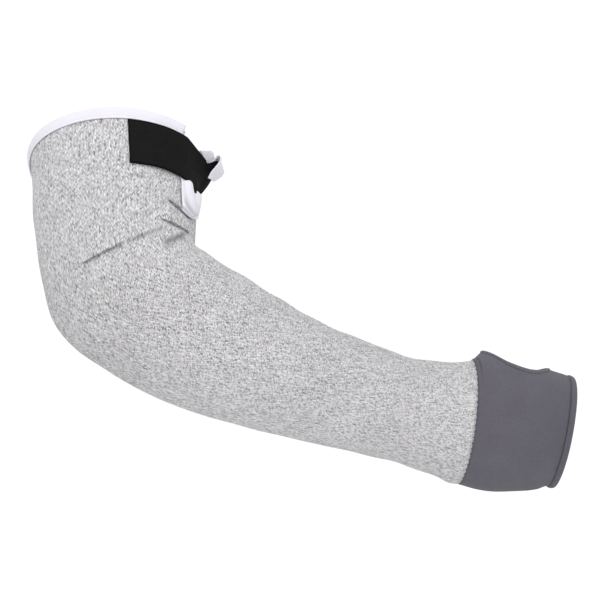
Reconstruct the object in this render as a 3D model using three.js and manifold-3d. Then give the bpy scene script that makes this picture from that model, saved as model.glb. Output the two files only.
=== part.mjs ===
// A cut resistant sleeve as it is worn on a bent arm: a knitted tube from the upper arm to the
// wrist, a white elastic binding round its top hem and down the slit in it, a black hook strap
// that closes the slit over a loop patch, and a grey cuff with a thumb hole.
// +Z is up, +X runs towards the hand and -Y faces the viewer. The origin is the middle of the
// opening that the arm goes in through.
import * as THREE from 'three';
import { mergeVertices } from 'three/addons/utils/BufferGeometryUtils.js';
import Module from 'manifold-3d';

const wasm = await Module();
wasm.setup();

// Driving dimensions, in millimetres
const UPPER_LENGTH = 48; // from the top hem down to the crook of the elbow, on the crook side
const CROOK_LENGTH = 19; // round the crook of the elbow
const FOREARM_LENGTH = 191; // from the crook to the cuff's seam, on the crook side
const CUFF_LENGTH = 73.5; // from the seam to the cuff's end, on the thumb side
const ARM_WIDTH = 122; // across the top hem
const ELBOW_WIDTH = 102; // across the crook and the elbow
const FOREARM_WIDTH = 96; // across the top of the forearm
const CUFF_WIDTH = 91; // across the palm

const KNIT_WALL = 1.5;
const CUFF_WALL = 1;
const ELASTIC = 0.9; // thickness of the white elastic
const HEM_CLOTH = 0.7; // thickness of the turned cuff cloth
const FIT_GAP = 0.4; // between pieces that are sewn or folded together

const BINDING_WIDTH = 9; // of the folded white elastic, round the top hem and beside the slit
const SLIT_DEPTH = 52; // from the hem's edge to the bottom of the slit
const SLIT_GAPE = 32; // width of the slit at the hem
const SLIT_ROUNDNESS = 1.7; // 1 for a pointed bottom, 2 for a round one
const STRAP_WIDTH = 31;
const STRAP_THICKNESS = 1.3;
const STRAP_LIFT = 2; // how far the strap's top edge stands off where it rounds the slit
const STRAP_CLIMB = 9; // how far it climbs towards its free end
const PATCH_THICKNESS = 0.9;
const PATCH_WIDTH = 27;
const PATCH_SETBACK = 3; // from the binding beside the slit to the patch
const CORNER_FLARE = 5; // how far the far corner of the slit turns out
const CORNER_REACH = 19; // how far down the flare reaches
const TAIL_WIDTH = 9; // the binding's loose end, folded out over the strap
const TAIL_DROP = 15; // how far it hangs down outside the strap
const TAIL_TUCK = 1; // how far it starts inside the hem binding's lower edge
const CUFF_HEM = 5; // depth of the turned hem at the cuff's end
const THUMB_HEM = 3;
const THUMB_LENGTH = 40; // length of the thumb hole along the cuff
const THUMB_WIDTH = 23; // width of the thumb hole round the cuff
const THUMB_START = 10; // from the cuff's seam to the thumb hole
const FOLD_HEIGHT = 4; // the height that the folds' shares are taken of
const FOLD_SPREAD = 10; // the width that the folds' shares are taken of

// Angles, in degrees
const ELBOW_TURN = 86; // how far the forearm turns from the upper arm
const SLIT_TOP_ANGLE = 28; // where the slit lies round the sleeve, at the hem
const SLIT_BOTTOM_ANGLE = 15;
const STRAP_NEAR_ANGLE = 80.5; // the strap's sewn end
const STRAP_SKEW = 5.5; // how far its lower corner lies from its upper one
const STRAP_FAR_ANGLE = -62; // its free end
const PATCH_FAR_ANGLE = -88;
const CORNER_ANGLE = 10; // where the far corner of the slit turns out
const CORNER_SPREAD = 34; // how far round the flare reaches
const LIFT_ANGLE = 5; // where the strap stands off most
const LIFT_SPREAD = 17;
const CLIMB_ANGLE = 22; // where it begins to climb
const CLIMB_SPREAD = 32;
const RAMP_ANGLE = 26; // from the slit to where the strap begins to rise onto the binding
const RAMP_SPREAD = 14;

// Columns of the mesh: coarse round the elbow side, fine round the slit and the thumb hole
const COARSE_TURN = 13;
const FINE_TURN = 5;
const FINE_SPAN = { from: -40, to: 60 };

// Parts of the sleeve. rowEvery: the distance from one mesh row to the next.
const legs = {
  upper: { length: UPPER_LENGTH, width: ARM_WIDTH, rowEvery: 4.5 },
  crook: { length: CROOK_LENGTH, width: ELBOW_WIDTH, rowEvery: 4 },
  forearm: { length: FOREARM_LENGTH, width: FOREARM_WIDTH, rowEvery: 20 },
  cuff: { length: CUFF_LENGTH, width: CUFF_WIDTH, rowEvery: 5 },
};

// Cross-sections from the top hem to the cuff's end. step: share of the leg's length since the row
// before. turn: share of the elbow's turn. slope: how far the crook-side outline leans from the
// way the sleeve runs, in degrees. wide: share of the leg's width. deep: depth as a share of that
// width. egg: how much narrower the elbow side is. tilt: how far the section leans back, in degrees.
const sections = [
  { leg: 'upper', step: 0, turn: 0, slope: 0, wide: 1, deep: 0.9, egg: 0, tilt: 35 },
  { leg: 'upper', step: 0.377, turn: 0.013, slope: -21, wide: 0.912, deep: 0.9, egg: 0, tilt: 33 },
  { leg: 'upper', step: 0.372, turn: 0.034, slope: -13, wide: 0.87, deep: 0.9, egg: 0.03, tilt: 29 },
  { leg: 'upper', step: 0.251, turn: 0.087, slope: -11, wide: 0.838, deep: 0.9, egg: 0.06, tilt: 22 },
  { leg: 'crook', step: 0.275, turn: 0.212, slope: -26, wide: 0.99, deep: 0.88, egg: 0.1, tilt: 16 },
  { leg: 'crook', step: 0.213, turn: 0.347, slope: -12, wide: 1.01, deep: 0.86, egg: 0.13, tilt: 10 },
  { leg: 'crook', step: 0.193, turn: 0.463, slope: 5, wide: 1, deep: 0.85, egg: 0.14, tilt: 4 },
  { leg: 'crook', step: 0.319, turn: 0.578, slope: 8, wide: 0.966, deep: 0.85, egg: 0.13, tilt: -1 },
  { leg: 'forearm', step: 0.066, turn: 0.691, slope: -4, wide: 1, deep: 0.86, egg: 0.11, tilt: -4 },
  { leg: 'forearm', step: 0.091, turn: 0.777, slope: -7, wide: 0.967, deep: 0.87, egg: 0.09, tilt: -6 },
  { leg: 'forearm', step: 0.11, turn: 0.852, slope: -16, wide: 0.901, deep: 0.88, egg: 0.06, tilt: -7 },
  { leg: 'forearm', step: 0.111, turn: 0.922, slope: -19.5, wide: 0.845, deep: 0.87, egg: 0.04, tilt: -8 },
  { leg: 'forearm', step: 0.115, turn: 0.971, slope: -22, wide: 0.789, deep: 0.85, egg: 0.02, tilt: -8 },
  { leg: 'forearm', step: 0.109, turn: 0.993, slope: -16, wide: 0.766, deep: 0.82, egg: 0, tilt: -8 },
  { leg: 'forearm', step: 0.109, turn: 0.997, slope: -18, wide: 0.732, deep: 0.78, egg: 0, tilt: -9 },
  { leg: 'forearm', step: 0.105, turn: 0.991, slope: -11, wide: 0.739, deep: 0.72, egg: 0, tilt: -10 },
  { leg: 'forearm', step: 0.088, turn: 0.988, slope: -1, wide: 0.787, deep: 0.64, egg: 0, tilt: -11 },
  { leg: 'forearm', step: 0.054, turn: 0.974, slope: 7, wide: 0.83, deep: 0.59, egg: 0, tilt: -12 },
  { leg: 'forearm', step: 0.042, turn: 0.966, slope: 16, wide: 0.858, deep: 0.56, egg: 0, tilt: -13 },
  { leg: 'cuff', step: 0.117, turn: 1, slope: 42, wide: 0.994, deep: 0.5, egg: -0.04, tilt: -13 },
  { leg: 'cuff', step: 0.195, turn: 0.997, slope: -7, wide: 0.988, deep: 0.47, egg: -0.06, tilt: -12 },
  { leg: 'cuff', step: 0.239, turn: 0.978, slope: -12, wide: 0.933, deep: 0.47, egg: -0.06, tilt: -11 },
  { leg: 'cuff', step: 0.211, turn: 0.963, slope: -9, wide: 0.874, deep: 0.48, egg: -0.04, tilt: -10 },
  { leg: 'cuff', step: 0.156, turn: 0.923, slope: -7, wide: 0.825, deep: 0.5, egg: 0, tilt: -10 },
  { leg: 'cuff', step: 0.082, turn: 0.92, slope: -11, wide: 0.815, deep: 0.51, egg: 0, tilt: -10 },
];

// Folds that gather at the crook. from, to: angles round the sleeve. start, middle, end: places
// along it, as shares of the knitted part. lip: height of the raised side, valley: depth of the
// sunk side, both as shares of FOLD_HEIGHT. spread: width, as a share of FOLD_SPREAD.
const folds = [
  { from: 112, to: 34, start: 0.223, middle: 0.214, end: 0.197, lip: 0.5, valley: 0.8, spread: 0.9 },
  { from: 52, to: 6, start: 0.18, middle: 0.187, end: 0.206, lip: 0.45, valley: 0.7, spread: 0.55 },
  { from: 47, to: 8, start: 0.137, middle: 0.153, end: 0.16, lip: 0.25, valley: 0.5, spread: 0.5 },
  { from: 54, to: 12, start: 0.245, middle: 0.234, end: 0.21, lip: 0.2, valley: 0.7, spread: 0.55 },
  { from: 105, to: 52, start: 0.272, middle: 0.264, end: 0.249, lip: 0.25, valley: 0.35, spread: 0.75 },
  { from: 58, to: 30, start: 0.312, middle: 0.29, end: 0.26, lip: 0.2, valley: 0.35, spread: 0.6 },
  { from: -100, to: -30, start: 0.226, middle: 0.216, end: 0.2, lip: 0.4, valley: 0.6, spread: 0.75 },
  { from: -60, to: -8, start: 0.17, middle: 0.18, end: 0.2, lip: 0.35, valley: 0.5, spread: 0.5 },
  { from: -62, to: -12, start: 0.26, middle: 0.24, end: 0.215, lip: 0.2, valley: 0.5, spread: 0.5 },
];
// Shares of a fold's length over which it rises and dies away, and of its width over which the
// lip turns into the valley
const foldFades = { rise: 0.35, fall: 0.25, turn: 0.35 };

const radians = THREE.MathUtils.degToRad;

// A section's place follows from the rows before it: the crook-side point steps along its outline,
// and the middle leans towards or away from the viewer as the sections tilt.
function placeSections() {
  const placed = [];
  const crook = new THREE.Vector2(ARM_WIDTH / 2, 0);
  const middle = new THREE.Vector2();
  let along = 0;
  let away = 0;
  for (const row of sections) {
    const { length, width } = legs[row.leg];
    const fan = Math.PI + radians(row.turn * ELBOW_TURN);
    const heading = fan + Math.PI / 2 + radians(row.slope);
    const wide = row.wide * width;
    crook.x += Math.cos(heading) * row.step * length;
    crook.y += Math.sin(heading) * row.step * length;
    const next = new THREE.Vector2(
      crook.x + (Math.cos(fan) * wide) / 2,
      crook.y + (Math.sin(fan) * wide) / 2,
    );
    const before = placed.at(-1);
    if (before) {
      const step = next.distanceTo(middle);
      along += step;
      away -= step * Math.tan((radians(row.tilt) + before.tilt) / 2);
    }
    middle.copy(next);
    placed.push({
      leg: row.leg,
      along,
      x: next.x,
      y: away,
      z: next.y,
      fan,
      wide,
      deep: wide * row.deep,
      egg: row.egg,
      tilt: radians(row.tilt),
    });
  }
  return placed;
}

const placed = placeSections();
const seamAt = placed.findLast((row) => row.leg === 'forearm').along;
const cuffEndAt = placed.at(-1).along;

// Cubic interpolation of one column of the placed sections, with the slope at each row taken from
// its neighbours on both sides.
function columnOf(name) {
  const slopeOf = (i) => {
    const [a, b] = [placed[i], placed[i + 1]];
    return (b[name] - a[name]) / (b.along - a.along);
  };
  const last = placed.length - 1;
  const tangents = placed.map((row, i) => {
    if (i === 0) return slopeOf(0);
    if (i === last) return slopeOf(last - 1);
    const before = row.along - placed[i - 1].along;
    const after = placed[i + 1].along - row.along;
    return (slopeOf(i - 1) * after + slopeOf(i) * before) / (before + after);
  });
  return (along) => {
    const next = placed.findIndex((row) => row.along > along);
    const i = next === -1 ? last - 1 : Math.max(next - 1, 0);
    const span = placed[i + 1].along - placed[i].along;
    const t = (along - placed[i].along) / span;
    if (t < 0) return placed[i][name] + tangents[i] * t * span;
    if (t > 1) return placed[i + 1][name] + tangents[i + 1] * (t - 1) * span;
    const [a, b] = [placed[i][name], placed[i + 1][name]];
    const rise = t * t * (3 - 2 * t);
    const lean = t * (1 - t) * ((1 - t) * tangents[i] - t * tangents[i + 1]) * span;
    return a + (b - a) * rise + lean;
  };
}

const columns = Object.fromEntries(
  ['x', 'y', 'z', 'fan', 'wide', 'deep', 'egg', 'tilt'].map((name) => [name, columnOf(name)]),
);

// The sleeve's outer surface without its folds. along is measured down its middle in millimetres.
// around is in radians: 0 on the crook side, a quarter turn facing the viewer, a half turn at the
// elbow.
function smoothPoint(along, around) {
  const at = (name) => columns[name](along);
  const fan = at('fan');
  const tilt = at('tilt');
  const outward = new THREE.Vector3(Math.cos(fan), 0, Math.sin(fan));
  const onward = new THREE.Vector3(-Math.sin(fan), 0, Math.cos(fan));
  const nearer = new THREE.Vector3(0, -Math.cos(tilt), 0).addScaledVector(onward, -Math.sin(tilt));
  const depth = (at('deep') / 2) * Math.sin(around) * (1 + at('egg') * Math.cos(around));
  return new THREE.Vector3(at('x'), at('y'), at('z'))
    .addScaledVector(outward, (-at('wide') / 2) * Math.cos(around))
    .addScaledVector(nearer, depth);
}

const NUDGE = 0.05;

// Millimetres of cloth for each millimetre along the sleeve's middle.
function stretchAt(along, around) {
  return smoothPoint(along + NUDGE, around).distanceTo(smoothPoint(along - NUDGE, around)) / (2 * NUDGE);
}

// Millimetres of cloth for each radian around the sleeve.
function girthAt(along, around) {
  return smoothPoint(along, around + NUDGE).distanceTo(smoothPoint(along, around - NUDGE)) / (2 * NUDGE);
}

function smoothNormal(along, around) {
  const turn = NUDGE / 10;
  const down = smoothPoint(along + NUDGE, around).sub(smoothPoint(along - NUDGE, around));
  const round = smoothPoint(along, around + turn).sub(smoothPoint(along, around - turn));
  return round.cross(down).normalize();
}

const fade = (t) => THREE.MathUtils.smoothstep(t, 0, 1);

// An angle round the sleeve in degrees, from -180 to 180.
function degreesRound(around) {
  return THREE.MathUtils.euclideanModulo(THREE.MathUtils.radToDeg(around) + 180, 360) - 180;
}

function foldHeight(along, around) {
  const angle = degreesRound(around);
  const stretch = stretchAt(along, around);
  let height = 0;
  for (const fold of folds) {
    const share = (angle - fold.from) / (fold.to - fold.from);
    if (share <= 0 || share >= 1) continue;
    const bow = 4 * share * (1 - share);
    const straight = fold.start + (fold.end - fold.start) * share;
    const line = straight + bow * (fold.middle - (fold.start + fold.end) / 2);
    const past = ((along - line * seamAt) * stretch) / FOLD_SPREAD;
    const bell = Math.exp(-((past / fold.spread) ** 2));
    const valleyShare = fade(0.5 + past / foldFades.turn);
    const ends = fade(share / foldFades.rise) * fade((1 - share) / foldFades.fall);
    height += ends * bell * (fold.lip * (1 - valleyShare) - fold.valley * valleyShare);
  }
  return FOLD_HEIGHT * height;
}

// The far corner of the slit turns out from the arm.
function flareHeight(along, around) {
  const beside = Math.abs(CORNER_ANGLE - degreesRound(around)) / CORNER_SPREAD;
  const below = (along * stretchAt(0, around)) / CORNER_REACH;
  return CORNER_FLARE * fade(1 - beside) * fade(1 - below);
}

// A point of the cloth, raised off its outer face by a distance.
function clothPoint(along, around, raise = 0) {
  const height = raise + foldHeight(along, around) + flareHeight(along, around);
  return smoothPoint(along, around).addScaledVector(smoothNormal(along, around), height);
}

// The place along the sleeve at a distance of cloth below its top edge, on the near side.
const alongBelowTop = (distance) => distance / stretchAt(distance / 2, Math.PI / 2);

function solidOf(vertices, triangles) {
  const geometry = new THREE.BufferGeometry();
  const positions = new Float32Array(vertices.flatMap((v) => [v.x, v.y, v.z]));
  geometry.setAttribute('position', new THREE.BufferAttribute(positions, 3));
  geometry.setIndex(triangles);
  const merged = mergeVertices(geometry, 1e-4);
  const made = new wasm.Manifold(
    new wasm.Mesh({
      numProp: 3,
      vertProperties: merged.getAttribute('position').array,
      triVerts: new Uint32Array(merged.index.array),
    }),
  );
  if (made.volume() > 0) return made;
  const turned = triangles.map((_, i) => triangles[i - (i % 3) + ((3 - (i % 3)) % 3)]);
  return solidOf(vertices, turned);
}

// A closed skin round a bundle of rings, which runs from ring to ring. Rings are lists of points
// of equal length. looped joins the last ring to the first, and otherwise both ends are capped.
function sweep(rings, looped = false) {
  const size = rings[0].length;
  const triangles = [];
  const quad = (a, b, c, d) => triangles.push(a, b, c, a, c, d);
  const count = looped ? rings.length : rings.length - 1;
  for (let i = 0; i < count; i++) {
    const [here, next] = [i * size, ((i + 1) % rings.length) * size];
    for (let j = 0; j < size; j++) {
      const k = (j + 1) % size;
      quad(here + j, here + k, next + k, next + j);
    }
  }
  if (!looped) {
    const end = (rings.length - 1) * size;
    const half = size / 2;
    for (let j = 0; j < half - 1; j++) {
      quad(size - 1 - j, size - 2 - j, j + 1, j);
      quad(end + j, end + j + 1, end + size - 2 - j, end + size - 1 - j);
    }
  }
  return solidOf(rings.flat(), triangles);
}

// Places along the sleeve of the mesh rows of some legs.
function meshRows(...names) {
  const places = [];
  placed.forEach((row, i) => {
    if (i === 0 || !names.includes(row.leg)) return;
    const { along } = placed[i - 1];
    const rows = Math.max(Math.round((row.along - along) / legs[row.leg].rowEvery), 1);
    if (!places.length) places.push(along);
    for (let n = 1; n <= rows; n++) places.push(along + ((row.along - along) * n) / rows);
  });
  return places;
}

// Angles round the sleeve of the mesh columns, from FINE_SPAN.from on.
function meshColumns() {
  const angles = [];
  for (let angle = FINE_SPAN.from; angle < FINE_SPAN.to; angle += FINE_TURN) angles.push(angle);
  for (let angle = FINE_SPAN.to; angle < FINE_SPAN.from + 360; angle += COARSE_TURN) angles.push(angle);
  return angles.map(radians);
}

// An open tube of cloth: each ring runs down the outside of a column and back up its inside.
function tube(places, wall) {
  const rings = meshColumns().map((around) => {
    const outside = places.map((along) => clothPoint(along, around));
    const inside = places.map((along) => clothPoint(along, around, -wall));
    return [...outside, ...inside.reverse()];
  });
  return sweep(rings, true);
}

// How far a tape of some thickness reaches past the edge of the cloth that it is folded round.
const crownOf = (thickness) => FIT_GAP + thickness;

// The section of a tape folded round a cloth's edge: points with in, the distance from the edge
// into the cloth, and raise, the height over its outer face.
function foldedTape(depth, wall, thickness) {
  const crown = crownOf(thickness);
  const reach = depth - crown;
  return [
    { in: reach, raise: crown },
    { in: -crown, raise: crown },
    { in: -crown, raise: -wall - crown },
    { in: reach, raise: -wall - crown },
    { in: reach, raise: -wall - FIT_GAP },
    { in: -FIT_GAP, raise: -wall - FIT_GAP },
    { in: -FIT_GAP, raise: FIT_GAP },
    { in: reach, raise: FIT_GAP },
  ];
}

// Places points beside a hole's edge at t, from their distance into the cloth and their height.
// The edge's curve runs down the sleeve on the side that faces the viewer.
function besideEdge(curve, t) {
  const [before, here, after] = [curve(t - 0.001), curve(t), curve(t + 0.001)];
  const stretch = stretchAt(here.along, here.around);
  const girth = girthAt(here.along, here.around);
  const way = new THREE.Vector2(
    (after.around - before.around) * girth,
    (after.along - before.along) * stretch,
  ).normalize();
  return (point) => {
    const across = (way.y * point.in) / girth;
    const down = (-way.x * point.in) / stretch;
    return clothPoint(here.along + down, here.around + across, point.raise);
  };
}

// The slit's edge, from the hem at its near side (t = -1) round its bottom (0) to its far side.
function slitEdge(t) {
  const down = 1 - Math.abs(t) ** SLIT_ROUNDNESS;
  const middle = THREE.MathUtils.lerp(SLIT_TOP_ANGLE, SLIT_BOTTOM_ANGLE, down);
  const halfTurn = SLIT_GAPE / ARM_WIDTH;
  return { along: alongBelowTop(SLIT_DEPTH) * down, around: radians(middle) - halfTurn * t };
}

// The t of the slit's far side at a place along the sleeve.
const slitShareAt = (along) => Math.max(1 - along / alongBelowTop(SLIT_DEPTH), 0) ** (1 / SLIT_ROUNDNESS);

// The thumb hole's edge, round the crook side of the cuff, for t from 0 to 1.
function thumbEdge(t) {
  const angle = t * 2 * Math.PI;
  const middle = seamAt + THUMB_START + THUMB_LENGTH / 2;
  const halfTurn = THUMB_WIDTH / 2 / girthAt(middle, 0);
  return {
    along: middle - (THUMB_LENGTH / 2) * Math.cos(angle),
    around: halfTurn * Math.sin(angle),
  };
}

// A block that fills the space inside an edge between -limit and limit, to cut the hole with.
function plug(curve, limit, reach) {
  const steps = 14;
  const rings = [];
  for (let n = 0; n <= steps; n++) {
    const t = limit * (1 - n / steps);
    const [near, far] = [curve(-t), curve(t)];
    const line = [0, 0.5, 1].map((share) => [
      THREE.MathUtils.lerp(near.along, far.along, share),
      THREE.MathUtils.lerp(near.around, far.around, share),
    ]);
    const side = (raise) => line.map(([along, around]) => clothPoint(along, around, raise));
    rings.push([...side(reach), ...side(-2 * reach).reverse()]);
  }
  return sweep(rings);
}

function knitSleeve() {
  const rows = meshRows('upper', 'crook', 'forearm');
  rows[0] = alongBelowTop(crownOf(ELASTIC));
  const pastHem = 1.05;
  return tube(rows, KNIT_WALL).subtract(plug(slitEdge, pastHem, 2 * KNIT_WALL));
}

function hemBinding() {
  const fullTurn = 2 * Math.PI;
  const [start, end] = [slitEdge(-1).around, slitEdge(1).around + fullTurn];
  const margin = radians(FINE_TURN / 4);
  const between = meshColumns()
    .map((around) => (around < start ? around + fullTurn : around))
    .filter((around) => around > start + margin && around < end - margin)
    .sort((a, b) => a - b);
  const angles = [start, ...between, end];
  const crown = crownOf(ELASTIC);
  const profile = foldedTape(BINDING_WIDTH, KNIT_WALL, ELASTIC);
  const place = (around) => profile.map((p) => clothPoint(alongBelowTop(crown + p.in), around, p.raise));
  return sweep(angles.map(place));
}

function slitBinding() {
  const steps = 28;
  const clearOfHem = BINDING_WIDTH + crownOf(ELASTIC);
  const top = slitShareAt(alongBelowTop(clearOfHem));
  const profile = foldedTape(BINDING_WIDTH, KNIT_WALL, ELASTIC);
  const rings = [];
  for (let n = 0; n <= steps; n++) {
    rings.push(profile.map(besideEdge(slitEdge, top * (-1 + (2 * n) / steps))));
  }
  return sweep(rings);
}

// Strap, patch and tail lie in layers over the knit.
const onKnit = FIT_GAP;
const onBinding = onKnit + ELASTIC + FIT_GAP;
const onPatch = onKnit + PATCH_THICKNESS + FIT_GAP;
const strapTop = BINDING_WIDTH + FIT_GAP;

// How much the strap stands off at an angle, from 0 to 1.
const liftShare = (around) => Math.exp(-(((around - radians(LIFT_ANGLE)) / radians(LIFT_SPREAD)) ** 2));

// How far the strap has climbed towards the hem where it rounds the slit.
const strapClimb = (around) => STRAP_CLIMB * fade((radians(CLIMB_ANGLE) - around) / radians(CLIMB_SPREAD));

// The height of the strap's underside over the knit, share 0 at its top edge.
function strapSeat(around, share) {
  const overBinding = fade((slitEdge(-1).around + radians(RAMP_ANGLE) - around) / radians(RAMP_SPREAD));
  const seat = onKnit + (Math.max(onBinding, onPatch) - onKnit) * overBinding;
  return seat + STRAP_LIFT * liftShare(around) * (1 - share) ** 1.5;
}

function strapPoint(around, share, raise) {
  const down = strapTop - strapClimb(around) + STRAP_WIDTH * share;
  return clothPoint(alongBelowTop(down), around, strapSeat(around, share) + raise);
}

// A cross-section of the strap, which lies straight over the slit.
function strapRing(angle) {
  const skew = STRAP_SKEW * Math.max(angle / STRAP_NEAR_ANGLE, 0);
  const side = (raise) => [0, 1 / 3, 2 / 3, 1].map((share) => {
    const around = radians(angle - skew * share);
    const t = slitShareAt(alongBelowTop(strapTop + STRAP_WIDTH * share));
    const [from, to] = [slitEdge(-t).around, slitEdge(t).around];
    if (around >= from || around <= to) return strapPoint(around, share, raise);
    const across = (from - around) / (from - to);
    return strapPoint(from, share, raise).lerp(strapPoint(to, share, raise), across);
  });
  return [...side(STRAP_THICKNESS), ...side(0).reverse()];
}

function closureStrap() {
  const steps = 28;
  const rings = [];
  for (let n = 0; n <= steps; n++) {
    rings.push(strapRing(THREE.MathUtils.lerp(STRAP_NEAR_ANGLE, STRAP_FAR_ANGLE, n / steps)));
  }
  return sweep(rings);
}

function loopPatch() {
  const steps = 16;
  const slitSide = slitEdge(slitShareAt(alongBelowTop(strapTop))).around;
  const start = slitSide - (BINDING_WIDTH + PATCH_SETBACK) / girthAt(0, 0);
  const top = strapTop + (STRAP_WIDTH - PATCH_WIDTH) / 2;
  const rings = [];
  for (let n = 0; n <= steps; n++) {
    const around = THREE.MathUtils.lerp(start, radians(PATCH_FAR_ANGLE), n / steps);
    const side = (raise) => [0, 0.5, 1].map((share) => (
      clothPoint(alongBelowTop(top + PATCH_WIDTH * share), around, raise)
    ));
    rings.push([...side(onKnit + PATCH_THICKNESS), ...side(onKnit).reverse()]);
  }
  return sweep(rings);
}

// The hem binding's loose end: up inside the strap, over its raised top edge and down outside it.
function bindingTail() {
  const around = radians(LIFT_ANGLE);
  const strapEdge = strapTop - strapClimb(around);
  const inside = onBinding + ELASTIC / 2;
  const outside = strapSeat(around, 0) + STRAP_THICKNESS + 2 * FIT_GAP + ELASTIC / 2;
  const bend = (outside - inside) / 2;
  const line = [{ down: BINDING_WIDTH - TAIL_TUCK, out: inside }];
  const turns = 8;
  const crest = strapEdge - FIT_GAP - ELASTIC;
  for (let n = 0; n <= turns; n++) {
    const angle = (n / turns) * Math.PI;
    line.push({
      down: crest - bend * Math.sin(angle),
      out: inside + bend * (1 - Math.cos(angle)),
    });
  }
  for (const share of [1 / 3, 2 / 3, 1]) {
    line.push({ down: strapEdge + TAIL_DROP * share, out: outside });
  }
  const halfTurn = TAIL_WIDTH / 2 / girthAt(0, around);
  const rings = line.map((point, i) => {
    const before = line[Math.max(i - 1, 0)];
    const after = line[Math.min(i + 1, line.length - 1)];
    const way = new THREE.Vector2(after.down - before.down, after.out - before.out).normalize();
    const side = (half) => [-1, 0, 1].map((end) => clothPoint(
      alongBelowTop(point.down - half * way.y),
      around + end * halfTurn,
      point.out + half * way.x,
    ));
    return [...side(ELASTIC / 2), ...side(-ELASTIC / 2).reverse()];
  });
  return sweep(rings);
}

// The place along the sleeve at a distance of cloth before the cuff's end.
const alongBeforeEnd = (distance) => cuffEndAt - distance / stretchAt(cuffEndAt, Math.PI / 2);

function wristCuff() {
  const rows = meshRows('cuff');
  rows[0] += FIT_GAP;
  rows[rows.length - 1] = alongBeforeEnd(crownOf(HEM_CLOTH));
  const halves = (t) => thumbEdge(t < 0 ? -t : 1 - t);
  return tube(rows, CUFF_WALL).subtract(plug(halves, 0.5, 2 * CUFF_WALL));
}

function cuffEndHem() {
  const crown = crownOf(HEM_CLOTH);
  const profile = foldedTape(CUFF_HEM, CUFF_WALL, HEM_CLOTH);
  const place = (around) => profile.map((p) => clothPoint(alongBeforeEnd(crown + p.in), around, p.raise));
  return sweep(meshColumns().map(place), true);
}

function thumbHoleHem() {
  const steps = 24;
  const profile = foldedTape(THUMB_HEM, CUFF_WALL, HEM_CLOTH);
  const rings = [];
  for (let n = 0; n < steps; n++) rings.push(profile.map(besideEdge(thumbEdge, n / steps)));
  return sweep(rings, true);
}

const knitYarn = new THREE.MeshStandardMaterial({ color: 0xc6c5c8, roughness: 0.95, metalness: 0 });
const whiteElastic = new THREE.MeshStandardMaterial({ color: 0xf1eff8, roughness: 0.85, metalness: 0 });
const blackTape = new THREE.MeshStandardMaterial({ color: 0x1c1c1d, roughness: 0.9, metalness: 0 });
const greyCloth = new THREE.MeshStandardMaterial({ color: 0x67646f, roughness: 0.85, metalness: 0 });

const sleeve = new THREE.Group();

function addPiece(name, solid, material) {
  const { numProp, vertProperties, triVerts } = solid.getMesh();
  const geometry = new THREE.BufferGeometry();
  const positions = new THREE.InterleavedBuffer(vertProperties, numProp);
  geometry.setAttribute('position', new THREE.InterleavedBufferAttribute(positions, 3, 0));
  geometry.setIndex(new THREE.BufferAttribute(triVerts, 1));
  const mesh = new THREE.Mesh(geometry, material);
  mesh.name = name;
  sleeve.add(mesh);
}

addPiece('knit_sleeve', knitSleeve(), knitYarn);
addPiece('hem_binding', hemBinding(), whiteElastic);
addPiece('slit_binding', slitBinding(), whiteElastic);
addPiece('binding_tail', bindingTail(), whiteElastic);
addPiece('closure_strap', closureStrap(), blackTape);
addPiece('loop_patch', loopPatch(), blackTape);
addPiece('wrist_cuff', wristCuff(), greyCloth);
addPiece('cuff_end_hem', cuffEndHem(), greyCloth);
addPiece('thumb_hole_hem', thumbHoleHem(), greyCloth);

export default sleeve;
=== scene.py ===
import math
import bpy
import numpy as np
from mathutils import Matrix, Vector


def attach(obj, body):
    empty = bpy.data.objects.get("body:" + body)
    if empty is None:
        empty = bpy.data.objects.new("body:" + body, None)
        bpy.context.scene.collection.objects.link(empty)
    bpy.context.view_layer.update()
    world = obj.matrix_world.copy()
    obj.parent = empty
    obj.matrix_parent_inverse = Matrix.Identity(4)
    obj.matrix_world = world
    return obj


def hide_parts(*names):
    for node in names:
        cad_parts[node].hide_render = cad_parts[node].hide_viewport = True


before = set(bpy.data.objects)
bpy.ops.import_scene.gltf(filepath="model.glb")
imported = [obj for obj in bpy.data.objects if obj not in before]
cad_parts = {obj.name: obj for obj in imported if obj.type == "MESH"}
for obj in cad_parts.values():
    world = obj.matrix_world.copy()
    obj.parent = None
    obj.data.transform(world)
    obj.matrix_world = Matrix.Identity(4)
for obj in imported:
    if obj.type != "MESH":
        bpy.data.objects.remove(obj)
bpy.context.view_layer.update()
mm = 0.001
print("frame loaded")


# Camera
view = {"place": (0.11895, -1.105, -0.09165), "lens": 99.7, "sensor": 36}

cameraData = bpy.data.cameras.new("photoCamera")
cameraData.lens = view["lens"]
cameraData.sensor_width = view["sensor"]
camera = bpy.data.objects.new("photoCamera", cameraData)
camera.location = view["place"]
camera.rotation_euler = (math.radians(90), 0, 0)
bpy.context.scene.collection.objects.link(camera)
bpy.context.scene.camera = camera


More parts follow.
